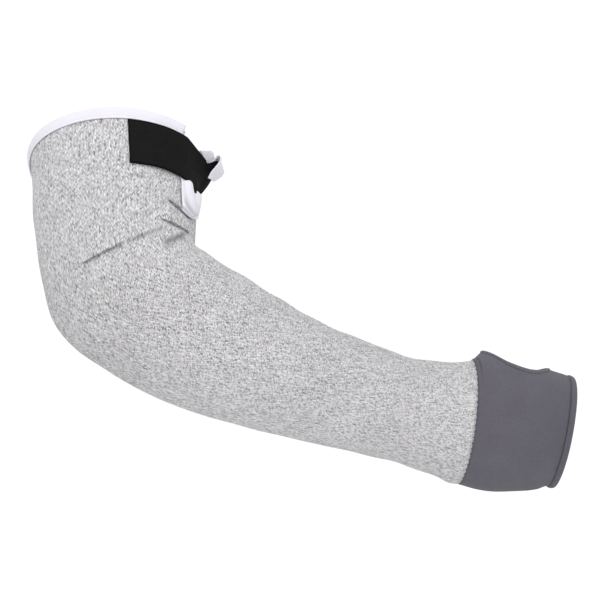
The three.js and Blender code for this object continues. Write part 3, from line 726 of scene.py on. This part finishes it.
def makeCuffMaterial():
    material, tree, shader, uv, place = newMaterial("greyCloth", Roughness=0.8, Sheen_Weight=0.12)
    stitch = addGroup(tree, knitGroup, Wales=calc(tree, "MULTIPLY", uv["X"], 2.4), Slant=0.8, Yarn_Length=3,
                      Courses=calc(tree, "MULTIPLY", uv["Y"], 2.2), Seed=11)
    shaded = remap(tree, stitch["Yarn"], 0.35, 0.65, 0, 0.8)
    color = mixColors(tree, shaded, greyCloth["color"], greyCloth["shade"])
    # Painted shade in the grooves between the wales
    color = mixColors(tree, calc(tree, "MULTIPLY", stitch["Groove"], 0.25), color, greyCloth["shade"])
    toned = addGroup(tree, toneGroup, Place=place, Size=0.02, Amount=0.05, Color=color)
    tree.links.new(paintShadeAndSpecks(tree, toned["Color"], 0.75), shader.inputs["Base Color"])
    addBump(tree, shader, stitch["Height"], 0.00015)
    return material


knitMaterial = makeKnitMaterial()
elasticMaterial = makeElasticMaterial()
tapeMaterial = makeTapeMaterial()
cuffMaterial = makeCuffMaterial()
threads = {
    "whiteThread": (0.83, 0.81, 0.88), "blackThread": (0.012, 0.012, 0.013), "greyThread": (0.17, 0.16, 0.19),
    "knitThread": (0.58, 0.57, 0.59),
}


def makeThreadMaterial(name, color):
    material = bpy.data.materials.new(name)
    material.use_nodes = True
    tree = material.node_tree
    shader = tree.nodes["Principled BSDF"]
    shader.inputs["Roughness"].default_value = 0.8
    shader.inputs["Specular IOR Level"].default_value = 0.2
    place = addNode(tree, "ShaderNodeTexCoord").outputs["Object"]
    toned = addGroup(tree, toneGroup, Place=place, Size=0.0016, Amount=0.22, Color=(*color, 1))
    tree.links.new(toned["Color"], shader.inputs["Base Color"])
    return material


threadMaterials = {name: makeThreadMaterial(name, color) for name, color in threads.items()}


# Stitches along an edge line: bars or loops of thread, turned by Sway to one side and the other
def makeStitchTree():
    tree = bpy.data.node_groups.new("stitches", "GeometryNodeTree")
    tree.interface.new_socket("Geometry", in_out="INPUT", socket_type="NodeSocketGeometry")
    usual = {"Pitch": 0.002, "Length": 0.0014, "Thickness": 0.0003, "Sway": 0.0, "Jitter": 0.1}
    for label, value in usual.items():
        tree.interface.new_socket(label, in_out="INPUT", socket_type="NodeSocketFloat").default_value = value
    tree.interface.new_socket("Seed", in_out="INPUT", socket_type="NodeSocketInt").default_value = 1
    tree.interface.new_socket("Thread", in_out="INPUT", socket_type="NodeSocketMaterial")
    tree.interface.new_socket("Geometry", in_out="OUTPUT", socket_type="NodeSocketGeometry")
    given = tree.nodes.new("NodeGroupInput").outputs
    curve = addNode(tree, "GeometryNodeMeshToCurve", {"Mesh": given["Geometry"]})
    spacing = {"Curve": curve.outputs[0], "Length": given["Pitch"]}
    spaced = addNode(tree, "GeometryNodeResampleCurve", spacing, mode="LENGTH")
    up = addNode(tree, "GeometryNodeInputNamedAttribute", {"Name": "up"}, data_type="FLOAT_VECTOR")
    tangent = tree.nodes.new("GeometryNodeInputTangent")
    alongLine = addNode(tree, "FunctionNodeAlignRotationToVector", {"Vector": tangent.outputs[0]}, axis="X")
    stood = addNode(tree, "FunctionNodeAlignRotationToVector", {
        "Rotation": alongLine.outputs[0], "Vector": up.outputs[0],
    }, axis="Z", pivot_axis="X")
    index = tree.nodes.new("GeometryNodeInputIndex")
    side = calc(tree, "MULTIPLY_ADD", calc(tree, "MODULO", index.outputs[0], 2), 2, -1)
    span = {2: -1.0, 3: 1.0, "Seed": given["Seed"]}
    random = addNode(tree, "FunctionNodeRandomValue", span, data_type="FLOAT")
    sway = calc(tree, "MULTIPLY", side, given["Sway"])
    jitter = calc(tree, "MULTIPLY", random.outputs[1], given["Jitter"])
    turn = calc(tree, "ADD", sway, jitter)
    angles = addNode(tree, "ShaderNodeCombineXYZ", {"Z": turn})
    swayed = addNode(tree, "FunctionNodeRotateRotation", {
        "Rotation": stood.outputs[0], "Rotate By": angles.outputs[0],
    }, rotation_space="LOCAL")
    bead = addNode(tree, "GeometryNodeMeshUVSphere", {"Segments": 7, "Rings": 5, "Radius": 0.5})
    size = addNode(tree, "ShaderNodeCombineXYZ", {
        "X": given["Length"], "Y": given["Thickness"], "Z": given["Thickness"],
    })
    placedBeads = addNode(tree, "GeometryNodeInstanceOnPoints", {
        "Points": spaced.outputs[0], "Instance": bead.outputs[0],
        "Rotation": swayed.outputs[0], "Scale": size.outputs[0],
    })
    real = addNode(tree, "GeometryNodeRealizeInstances", {0: placedBeads.outputs[0]})
    smooth = addNode(tree, "GeometryNodeSetShadeSmooth", {0: real.outputs[0]})
    worn = {"Geometry": smooth.outputs[0], "Material": given["Thread"]}
    dressed = addNode(tree, "GeometryNodeSetMaterial", worn)
    tree.links.new(dressed.outputs[0], tree.nodes.new("NodeGroupOutput").inputs[0])
    return tree


stitchTree = makeStitchTree()
stitchNames = ("Pitch", "Length", "Thickness", "Sway", "Jitter", "Seed")


# lines is a list of (points, ups), in millimetres
def stitches(name, lines, thread, pitch, length, thickness, sway=0.0, jitter=0.08, seed=1):
    points = np.concatenate([line for line, _ in lines]) * mm
    ups = np.concatenate([up for _, up in lines])
    edges, first = [], 0
    for line, _ in lines:
        edges += [(i, i + 1) for i in range(first, first + len(line) - 1)]
        first += len(line)
    mesh = bpy.data.meshes.new(name)
    mesh.from_pydata(points.tolist(), edges, [])
    upwards = mesh.attributes.new("up", "FLOAT_VECTOR", "POINT")
    upwards.data.foreach_set("vector", ups.astype(np.float32).ravel())
    made = bpy.data.objects.new(name, mesh)
    bpy.context.scene.collection.objects.link(made)
    modifier = made.modifiers.new("stitches", "NODES")
    modifier.node_group = stitchTree
    sockets = [item for item in stitchTree.interface.items_tree if item.in_out == "INPUT"]
    identifiers = {item.name: item.identifier for item in sockets}
    for label, value in zip(stitchNames, (pitch * mm, length * mm, thickness * mm, sway, jitter, seed)):
        modifier[identifiers[label]] = value
    modifier[identifiers["Thread"]] = threadMaterials[thread]
    bpy.context.view_layer.update()
    graph = bpy.context.evaluated_depsgraph_get()
    finished = bpy.data.meshes.new_from_object(made.evaluated_get(graph), depsgraph=graph)
    made.modifiers.remove(modifier)
    made.data = finished
    return made


# The line of a tape's upper side that lies a distance in from its first edge
def tapeLine(upper, lower, gone, inset, lift=0.05):
    i = int(np.argmin(np.abs(gone - inset)))
    up = unit(upper[:, i] - lower[:, i])
    return upper[:, i] + up * lift, up


print("materials made")


# Knitted sleeve
knit = {
    "wales": 160, "courseHeight": 1.45, "columns": 184,
    "fineFrom": 32, "fineTo": 90, "fineRow": 0.6, "row": 1.9,
}


# Rows along the sleeve, close together where the folds are
def knitRows(start, end):
    places = np.linspace(start, end, 4000)
    inside = fade((places - knit["fineFrom"]) / 8) * fade((knit["fineTo"] - places) / 8)
    perRow = knit["row"] + (knit["fineRow"] - knit["row"]) * inside
    count = np.concatenate([[0], np.cumsum(np.diff(places) / perRow[1:])])
    return np.interp(np.linspace(0, count[-1], round(count[-1]) + 1), count, places)


# Stitch coordinates: wales share out each ring evenly, and courses follow the cloth's length
def stitchUvs(points, wales, courseHeight):
    rounds = lengthOf(np.roll(points, -1, axis=1) - points)
    gone = np.concatenate([np.zeros((len(points), 1)), np.cumsum(rounds, axis=1)], 1)
    steps = lengthOf(np.diff(points, axis=0))
    downs = np.concatenate([np.zeros((1, points.shape[1])), np.cumsum(steps, axis=0)])
    downs = np.concatenate([downs, downs[:, :1]], 1)
    return np.stack([gone / gone[:, -1:] * wales, downs / courseHeight], -1)


def makeKnit():
    rows = knitRows(float(alongBelowTop(1.6)), seamAt - 1.4)
    angles = np.radians(np.linspace(-100, 260, knit["columns"], endpoint=False))
    along, around = rows[:, None], angles[None, :]
    rolled = fade((along - seamAt + 3.2) / 1.8)
    outer = clothPoint(along, around, -0.9 * rolled)
    inner = clothPoint(along, around, -sleeve["knitWall"] + 0.1 * rolled)
    plain = smoothPoint(along, around)
    midAlong = (rows[:-1, None] + rows[1:, None]) / 2
    midAround = degreesRound(around + math.pi / knit["columns"])
    t = slitShareAt(midAlong)
    edgeMargin = math.degrees(0.9 / float(lengthOf(roundAt(10.0, 0.5))))
    low, high = np.degrees(slitEdge(t)[1]) - edgeMargin, np.degrees(slitEdge(-t)[1]) + edgeMargin
    cut = (midAlong < slitBottom + 0.8) & (midAround > low) & (midAround < high)
    uv = stitchUvs(plain, knit["wales"], knit["courseHeight"])
    return clothWall("knitSleeve", outer, inner, uv, creaseShade(along, around), ~cut, knitMaterial)


knitSleeve = makeKnit()
print("knit made:", len(knitSleeve.data.polygons), "faces")


# White elastic bindings
elastic = {
    "thick": 0.9, "gap": 0.15, "hemDepth": 7, "hemBulge": 0.5, "hemNose": 1.3, "endSkew": 10,
    "depth": 9, "strapBulge": 0.12, "puff": 2.7, "rim": 1.1,
}


stitchLines = {}


# The folded tape's middle line: distance into the cloth, height over its outer face. A rim along
# the outer edge stands up beside the line where the tape is sewn down.
def bindingLine(depth, bulge, rim, nose, wall, thick):
    seat = elastic["gap"] + thick / 2
    under = -wall - seat
    return smoothLine([
        (depth, seat + rim * 0.6), (depth * 0.9, seat + rim), (depth * 0.76, seat),
        (depth * 0.6, seat + bulge * 0.6),
        (depth * 0.36, seat + bulge), (depth * 0.12, seat + bulge * 0.9), (-nose * 0.6, seat + bulge * 0.3),
        (-nose, -wall / 2), (-nose * 0.5, under - 0.1), (depth * 0.3, under - 0.3),
        (depth * 0.7, under - 0.15),
        (depth, under),
    ], 46)


def makeHemBinding():
    start, end = float(slitEdge(-1.0)[1]), float(slitEdge(1.0)[1]) + 2 * math.pi
    shares = np.linspace(0, 1, 270)
    nose = elastic["hemNose"] - elastic["thick"] / 2
    line = bindingLine(elastic["hemDepth"], elastic["hemBulge"], 0.1, nose,
                       sleeve["knitWall"], elastic["thick"])
    upper, lower, gone = tapeSides(line, elastic["thick"])

    # The far end is cut aslant: its lower edge reaches further over the slit
    def side(points):
        inward = np.clip(points[None, :, 0] / elastic["hemDepth"], 0, 1)
        slant = inward * fade((shares[:, None] - 0.93) / 0.07)
        angles = start + (end - start) * shares[:, None] + math.radians(elastic["endSkew"]) * slant
        return clothPoint(alongBelowTop(elastic["hemNose"] + points[None, :, 0]), angles, points[None, :, 1])

    run = runAlong(side(line)[:, 12])
    stitchLines["hemBinding"] = tapeLine(side(upper), side(lower), gone, 0.9)
    return tape("hemBinding", side(upper), side(lower), gone, run, elasticMaterial)


# The slit's binding is flat under the strap and puffed up into a loop below it
def makeSlitBinding():
    top = float(slitShareAt(alongBelowTop(elastic["hemDepth"] + elastic["hemNose"] + 0.5)))
    upper, lower, shadeAndSpecks = [], [], []
    for t in top * np.linspace(-1, 1, 150):
        puffed = fade((0.52 - abs(t)) / 0.1)
        gape = 26 * abs(t)
        wider = 6.6 * math.exp(-(((t + 0.13) / 0.15) ** 2)) + 1.6 * math.exp(-(((t + 0.36) / 0.1) ** 2))
        nose = 0.5 + min(0.62 * gape, 3.9 if t > 0 else 0.7) * puffed
        bulge = elastic["strapBulge"] + elastic["puff"] * puffed
        thick = elastic["thick"] * (1 + 0.3 * puffed)
        depth = elastic["depth"] - 0.3 + wider * puffed
        line = bindingLine(depth, bulge, elastic["rim"] * puffed, nose, sleeve["knitWall"], thick)
        sides = tapeSides(line, thick)
        # Painted shade in the groove between the loop's rim and its puffed middle, along two stretches of the
        # loop
        low = math.exp(-(((t + 0.12) / 0.14) ** 2)) + 0.4 * math.exp(-(((t - 0.25) / 0.08) ** 2))
        shadeAndSpecks.append(0.8 * low * np.exp(-(((sides[2] - 0.38 * depth) / 1.5) ** 2)))
        for rings, points in ((upper, sides[0]), (lower, sides[1])):
            along, around = besideEdge(slitEdge, np.full(len(points), t), points[:, 0])
            rings.append(clothPoint(along, around, points[:, 1]))
    upper, lower = np.stack(upper), np.stack(lower)
    run = runAlong(upper[:, 6])
    stitchLines["slitBinding"] = tapeLine(upper, lower, sides[2], 2.1)
    return tape("slitBinding", upper, lower, sides[2], run, elasticMaterial, shadeAndSpecks=np.stack(shadeAndSpecks))


hemBinding = makeHemBinding()
slitBinding = makeSlitBinding()
print("bindings made")


# Closure strap and the loop patch under it
strap = {
    "width": strapWidth, "thick": 1.1, "nearAngle": 80.5, "skew": 5.5, "farAngle": -62,
    "gap": 0.35, "patch": 0.9,
    "lift": 1.1, "liftAngle": 1, "liftSpread": 8, "climb": 8, "topAngle": 8, "topSpread": 5, "lowAngle": 7,
    "lowSpread": 17, "sag": 2.6, "sagFrom": 23, "sagTo": 2,
    "patchWidth": 27, "patchFar": -88, "patchSetback": 3,
}
strapTop = 8.5
onBinding = elastic["gap"] + elastic["thick"] + elastic["strapBulge"] + 0.1
onPatch = strap["gap"] + strap["patch"] + 0.1


# Beyond the slit the strap climbs to the hem, its top edge more steeply than its lower one
def strapClimb(around, share):
    angle = np.degrees(around)
    top = fade((strap["topAngle"] - angle) / strap["topSpread"])
    low = fade((strap["lowAngle"] - angle) / strap["lowSpread"])
    return strap["climb"] * (top + (low - top) * fade(share * 2.5))


def strapSag(around, share):
    angle = np.degrees(around)
    sagging = strap["sag"] * share ** 4 * fade((strap["sagFrom"] - angle) / 3)
    return sagging * fade((angle - strap["sagTo"]) / 12)


def strapSeat(around, share):
    slitSide = float(slitEdge(-1.0)[1])
    over = fade((slitSide + math.radians(26) - around) / math.radians(14))
    seat = strap["gap"] + (max(onBinding, onPatch) - strap["gap"]) * over
    lifted = np.exp(-(((np.degrees(around) - strap["liftAngle"]) / strap["liftSpread"]) ** 2))
    return seat + strap["lift"] * lifted * (1 - share) ** 3


def strapPoint(around, share, up):
    down = strapTop - strapClimb(around, share) + strap["width"] * share + strapSag(around, share)
    return clothPoint(alongBelowTop(down), around, strapSeat(around, share) + up)


# The strap lies straight across the slit from one edge to the other
def strapAt(angle, share, up):
    skew = strap["skew"] * max(angle / strap["nearAngle"], 0)
    around = np.radians(angle - skew * share)
    t = slitShareAt(alongBelowTop(strapTop + strap["width"] * share))
    near, far = slitEdge(-t)[1], slitEdge(t)[1]
    across = np.clip((near - around) / np.maximum(near - far, 1e-9), 0, 1)[:, None]
    bridged = strapPoint(near, share, up) * (1 - across) + strapPoint(far, share, up) * across
    inSlit = ((around < near) & (around > far))[:, None]
    return np.where(inSlit, bridged, strapPoint(around, share, up))


def edgeShares(width, thick, count):
    edge = np.array([0, 0.06, 0.2, 0.45, 1]) * thick / 2 / width
    return np.concatenate([edge, np.linspace(edge[-1], 1 - edge[-1], count)[1:-1], 1 - edge[::-1]])


def makeStrap():
    shares = edgeShares(strap["width"], strap["thick"], 26)
    fromEdge = np.minimum(shares, 1 - shares) * strap["width"]
    near = np.clip(fromEdge / (strap["thick"] / 2), 0, 1)
    half = strap["thick"] / 2 * np.sqrt(1 - (1 - near) ** 2)
    ends = edgeShares(142.5, strap["thick"] * 1.1, 150)
    angles = strap["nearAngle"] + (strap["farAngle"] - strap["nearAngle"]) * ends
    strapTurn = strap["nearAngle"] - strap["farAngle"]
    fromEnd = np.clip(np.minimum(ends, 1 - ends) * strapTurn / (strap["thick"] * 0.55), 0, 1)
    endHalf = np.sqrt(np.clip(1 - (1 - fromEnd) ** 2, 0.04, 1))
    middle = strap["thick"] / 2
    upper = np.stack([strapAt(a, shares, middle + half * k) for a, k in zip(angles, endHalf)])
    lower = np.stack([strapAt(a, shares, middle - half * k) for a, k in zip(angles, endHalf)])
    run = runAlong(upper[:, len(shares) // 2])
    across = np.transpose(upper, (1, 0, 2)), np.transpose(lower, (1, 0, 2))
    stitchLines["strapFarEnd"] = tapeLine(*across, run[-1] - run, 2.5)
    return tape("closureStrap", upper, lower, shares * strap["width"], run, tapeMaterial)


def makePatch():
    slitSide = float(slitEdge(slitShareAt(alongBelowTop(strapTop)))[1])
    setback = (elastic["depth"] + strap["patchSetback"]) / float(lengthOf(roundAt(0.0, 0.0)))
    start = math.degrees(slitSide - setback)
    shares = edgeShares(strap["patchWidth"], strap["patch"], 20)
    fromEdge = np.minimum(shares, 1 - shares) * strap["patchWidth"]
    near = np.clip(fromEdge / (strap["patch"] / 2), 0, 1)
    half = strap["patch"] / 2 * np.sqrt(1 - (1 - near) ** 2)
    angles = np.radians(np.linspace(start, strap["patchFar"], 90))[:, None]
    top = strapTop + (strap["width"] - strap["patchWidth"]) / 2
    along = alongBelowTop(top + strap["patchWidth"] * shares)[None, :]
    middle = strap["gap"] + strap["patch"] / 2
    upper = clothPoint(along, angles, middle + half)
    lower = clothPoint(along, angles, middle - half)
    run = runAlong(upper[:, len(shares) // 2])
    across = np.transpose(upper, (1, 0, 2)), np.transpose(lower, (1, 0, 2))
    stitchLines["patchTop"] = tapeLine(upper, lower, shares * strap["patchWidth"], 1.6)
    stitchLines["patchBottom"] = tapeLine(upper, lower, shares[::-1] * strap["patchWidth"], 1.6)
    stitchLines["patchEnd"] = tapeLine(*across, run[-1] - run, 1.6)
    return tape("loopPatch", upper, lower, shares * strap["patchWidth"], run, tapeMaterial)


closureStrap = makeStrap()
loopPatch = makePatch()
print("strap made")


# The binding's loose end, folded out over the strap
tail = {
    "width": 10, "drop": 18, "tuck": 1, "angle": 1, "slant": -2,
    "bow": 1.4, "stand": 3.2, "twist": 2.6, "cut": 6,
}


def makeTail():
    around = math.radians(tail["angle"])
    edge = strapTop - float(strapClimb(around, 0.0))
    inside = onBinding + elastic["thick"] / 2
    outside = float(strapSeat(around, 0)) + strap["thick"] + 2 * strap["gap"] + elastic["thick"] / 2
    bend = (outside - inside) / 2
    crest = edge - strap["gap"] - elastic["thick"]
    turns = np.linspace(0, math.pi, 16)
    line = np.concatenate([
        np.stack([np.linspace(elastic["depth"] - tail["tuck"], crest, 6)[:-1], np.full(5, inside)], 1),
        np.stack([crest - bend * np.sin(turns), inside + bend * (1 - np.cos(turns))], 1),
        np.stack([np.linspace(crest, edge + tail["drop"], 22)[1:], np.full(21, outside)], 1),
    ])
    hanging = line[:, 1] > inside + bend
    hungShare = np.clip((line[:, 0] - crest) / (edge + tail["drop"] - crest), 0, 1)
    line[:, 1] += hanging * (tail["bow"] * np.sin(math.pi * hungShare) + tail["stand"] * hungShare)
    halfTurn = tail["width"] / 2 / float(lengthOf(roundAt(0.0, around)))
    shares = np.linspace(-1, 1, 17)
    half = elastic["thick"] / 2 * np.sqrt(1 - np.abs(shares) ** 8)
    way = unit(np.gradient(line, axis=0))
    rings = []
    for sign in (1, -1):
        down = line[:, None, 0] - sign * half[None, :] * way[:, None, 1]
        out = line[:, None, 1] + sign * half[None, :] * way[:, None, 0]
        isOutside = line[:, None, 1] > inside + bend
        slant = math.radians(tail["slant"]) * fade((line[:, None, 0] - crest) / tail["drop"]) * isOutside
        hung = fade((line[:, None, 0] - crest) / 5) * (line[:, None, 1] > inside + bend)
        out = out + tail["twist"] * hung * (1 - shares[None, :]) / 2
        cutAway = tail["cut"] * hung * (1 - shares[None, :]) / 2 * (line[:, None, 0] - crest)
        down = down - cutAway / tail["drop"]
        rings.append(clothPoint(alongBelowTop(down), around + slant + shares[None, :] * halfTurn, out))
    run = runAlong(rings[0][:, 8])
    return tape("bindingTail", rings[0], rings[1], (shares + 1) / 2 * tail["width"], run, elasticMaterial)


bindingTail = makeTail()


# Cuff with its hems
cuff = {
    "wales": 160, "courseHeight": 1.3, "columns": 190, "hem": 3, "thumbHem": 1.7,
    "hemThick": 0.7, "crown": 1.8, "seamWelt": 0.8,
}


def alongBeforeEnd(distance):
    return cuffEndAt - distance / float(lengthOf(downAt(cuffEndAt, math.pi / 2)))


def makeCuff():
    wall = sleeve["cuffWall"]
    rows = np.linspace(seamAt - 4.5, alongBeforeEnd(cuff["crown"]), 120)
    angles = np.radians(np.linspace(-100, 260, cuff["columns"], endpoint=False))
    along, around = rows[:, None], angles[None, :]
    tucked = 1.75 * fade((seamAt + 0.3 - along) / 2.6)
    sunk = 0.45 * fade((along - alongBeforeEnd(cuff["hem"] + 0.9)) / 0.9)
    atTop = fade(1 - np.abs(degreesRound(around) - 14) / 46)
    welt = cuff["seamWelt"] * np.exp(-(((along - seamAt - 0.9) / 0.9) ** 2)) * atTop
    outer = clothPoint(along, around, welt - tucked - sunk)
    inner = clothPoint(along, around, -wall - 0.7 * tucked)
    midAlong = (rows[:-1, None] + rows[1:, None]) / 2
    midAround = degreesRound(around + math.pi / cuff["columns"])
    nearer = np.where(midAround > 0, thumb["nearShare"], 1)
    halfTurn = math.degrees(thumbHalfTurn) * (1 + 1.4 / thumb["width"]) * nearer
    reach = np.hypot((midAlong - thumbMiddle) / (thumb["length"] / 2 + 0.7), midAround / halfTurn)
    uv = stitchUvs(smoothPoint(along, around), cuff["wales"], cuff["courseHeight"])
    # Painted shade: a dark line at the inner edge of the end hem, one under the seam welt, and darker where
    # the cuff tucks under the knit
    hemLineShade = 1.3 * np.exp(-(((along - alongBeforeEnd(cuff["hem"] + cuff["crown"] + 0.3)) / 0.7) ** 2))
    seamShade = atTop * np.exp(-(((along - seamAt - 2.4) / 0.6) ** 2)) + 0.5 * fade((seamAt - 0.1 - along) / 1.2)
    shadeAndSpecks = np.clip(np.maximum(hemLineShade, seamShade) + 0 * around, 0, 1)
    return clothWall("wristCuff", outer, inner, uv, shadeAndSpecks, reach > 1, cuffMaterial)


def hemLine(depth, wall, nose):
    seat = 0.12
    return smoothLine([
        (depth, -0.25), (depth * 0.93, seat * 0.6), (depth * 0.8, seat + 0.22), (depth * 0.45, seat + 0.3),
        (depth * 0.15, seat + 0.25), (-nose * 0.6, -0.05), (-nose, -wall / 2), (-nose * 0.6, -wall - 0.1),
        (depth * 0.3, -wall - 0.5), (depth * 0.7, -wall - 0.5), (depth, -wall - 0.4),
    ], 36)


def makeCuffEnd():
    line = hemLine(cuff["hem"], sleeve["cuffWall"], 0.75)
    upper, lower, gone = tapeSides(line, cuff["hemThick"])
    angles = np.radians(np.linspace(-100, 260, 220, endpoint=False))

    def side(points):
        stretch = float(lengthOf(downAt(cuffEndAt, math.pi / 2)))
        return clothPoint(alongBeforeEnd(0) - (cuff["crown"] + points[None, :, 0]) / stretch,
                          angles[:, None], points[None, :, 1])

    first = side(line)[:, 12]
    run = runAlong(np.concatenate([first, first[:1]]))
    stitchLines["cuffEndHem"] = tapeLine(side(upper), side(lower), gone, 1)
    return tape("cuffEndHem", side(upper), side(lower), gone, run, cuffMaterial, looped=True)


def makeThumbHem():
    line = hemLine(cuff["thumbHem"], sleeve["cuffWall"], 0.75)
    upper, lower, gone = tapeSides(line, cuff["hemThick"])
    ts = np.linspace(0, 1, 110, endpoint=False)

    def side(points):
        along, around = besideEdge(thumbEdge, ts[:, None] + 0 * points[None, :, 0], 0.9 + points[None, :, 0])
        return clothPoint(along, around, points[None, :, 1])

    first = side(line)[:, 12]
    run = runAlong(np.concatenate([first, first[:1]]))
    stitchLines["thumbHoleHem"] = tapeLine(side(upper), side(lower), gone, 0.9)
    return tape("thumbHoleHem", side(upper), side(lower), gone, run, cuffMaterial, looped=True)


wristCuff = makeCuff()
cuffEndHem = makeCuffEnd()
thumbHoleHem = makeThumbHem()
print("cuff made")


# Stitches
seam = {"pitch": 1.9, "length": 2.3, "thick": 0.95, "turn": 0.75, "at": -1.7, "sunk": -0.35}


# The knit's last loops, which give its edge at the cuff a ragged line
def makeSeamLoops():
    angles = np.radians(np.linspace(0, 360, 300))
    points = clothPoint(seamAt + seam["at"], angles, seam["sunk"])
    ups = unit(np.cross(roundAt(seamAt, angles), downAt(seamAt, angles)))
    return stitches("seamLoops", [(points, ups)], "knitThread", seam["pitch"], seam["length"], seam["thick"],
                    sway=seam["turn"], jitter=0.4, seed=5)


whiteLines = [stitchLines["hemBinding"], stitchLines["slitBinding"]]
blackLines = [stitchLines[name] for name in ("strapFarEnd", "patchTop", "patchBottom", "patchEnd")]
greyLines = [stitchLines["cuffEndHem"], stitchLines["thumbHoleHem"]]
whiteStitches = stitches("whiteStitches", whiteLines, "whiteThread", 2, 1.7, 0.32, sway=0.5, seed=2)
blackStitches = stitches("blackStitches", blackLines, "blackThread", 2.4, 1.9, 0.4, seed=3)
greyStitches = stitches("greyStitches", greyLines, "greyThread", 1.8, 1.4, 0.3, seed=4)
seamLoops = makeSeamLoops()
print("stitches made")


# Every piece rides on the one body, and stands for its solid
pieces = [
    (knitSleeve, "knit_sleeve", "knit_yarn"), (hemBinding, "hem_binding", "white_elastic"),
    (slitBinding, "slit_binding", "white_elastic"), (bindingTail, "binding_tail", "white_elastic"),
    (closureStrap, "closure_strap", "black_tape"), (loopPatch, "loop_patch", "black_tape"),
    (wristCuff, "wrist_cuff", "grey_cloth"), (cuffEndHem, "cuff_end_hem", "grey_cloth"),
    (thumbHoleHem, "thumb_hole_hem", "grey_cloth"),
]
for piece, node, slot in pieces:
    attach(piece, "root")
    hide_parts(node)
for piece, slot in ((whiteStitches, "white_elastic"), (blackStitches, "black_tape"),
                    (greyStitches, "grey_cloth"),
                    (seamLoops, "knit_yarn")):
    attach(piece, "root")


# Floor, light
studio = {
    "floorAt": -0.5, "floorSize": 30, "floorColor": (0.83, 0.83, 0.83, 1), "world": 0.93,
    "keyPower": 9, "fillPower": 2,
}


def makeFloor():
    half = studio["floorSize"] / 2
    mesh = bpy.data.meshes.new("paleFloor")
    corners = ((-half, -half), (half, -half), (half, half), (-half, half))
    mesh.from_pydata([(x, y, studio["floorAt"]) for x, y in corners],
                     [], [(0, 1, 2, 3)])
    floor = bpy.data.objects.new("paleFloor", mesh)
    bpy.context.scene.collection.objects.link(floor)
    material = bpy.data.materials.new("paleFloor")
    material.use_nodes = True
    tree = material.node_tree
    shader = tree.nodes["Principled BSDF"]
    shader.inputs["Base Color"].default_value = studio["floorColor"]
    shader.inputs["Roughness"].default_value = 1
    shader.inputs["Specular IOR Level"].default_value = 0
    seen = addNode(tree, "ShaderNodeEmission", {"Color": (1, 1, 1, 1), "Strength": 1.05})
    rays = addNode(tree, "ShaderNodeLightPath")
    mixed = addNode(tree, "ShaderNodeMixShader", {
        0: rays.outputs["Is Camera Ray"], 1: shader.outputs[0], 2: seen.outputs[0],
    })
    tree.links.new(mixed.outputs[0], tree.nodes["Material Output"].inputs["Surface"])
    mesh.materials.append(material)


def addLight(name, place, target, size, power):
    light = bpy.data.lights.new(name, "AREA")
    light.size = size
    light.energy = power
    lamp = bpy.data.objects.new(name, light)
    lamp.location = place
    lamp.rotation_euler = (Vector(target) - Vector(place)).to_track_quat("-Z", "Y").to_euler()
    bpy.context.scene.collection.objects.link(lamp)


makeFloor()
world = bpy.data.worlds.new("studio")
bpy.context.scene.world = world
world.use_nodes = True
tree = world.node_tree
soft = tree.nodes["Background"]
soft.inputs["Strength"].default_value = studio["world"]
backdrop = addNode(tree, "ShaderNodeBackground", {"Color": (1, 1, 1, 1), "Strength": 1.05})
soft.inputs["Color"].default_value = (1, 1, 1, 1)
rays = addNode(tree, "ShaderNodeLightPath")
mixed = addNode(tree, "ShaderNodeMixShader", {
    0: rays.outputs["Is Camera Ray"], 1: soft.outputs[0], 2: backdrop.outputs[0],
})
tree.links.new(mixed.outputs[0], tree.nodes["World Output"].inputs["Surface"])
middle = (0.12, 0, -0.09)
addLight("keyLight", (-0.1, -1.1, 1), middle, 1.2, studio["keyPower"])
addLight("fillLight", (0.9, -1.3, 0.2), middle, 1.2, studio["fillPower"])
bpy.context.scene.view_settings.view_transform = "Standard"
print("studio made")
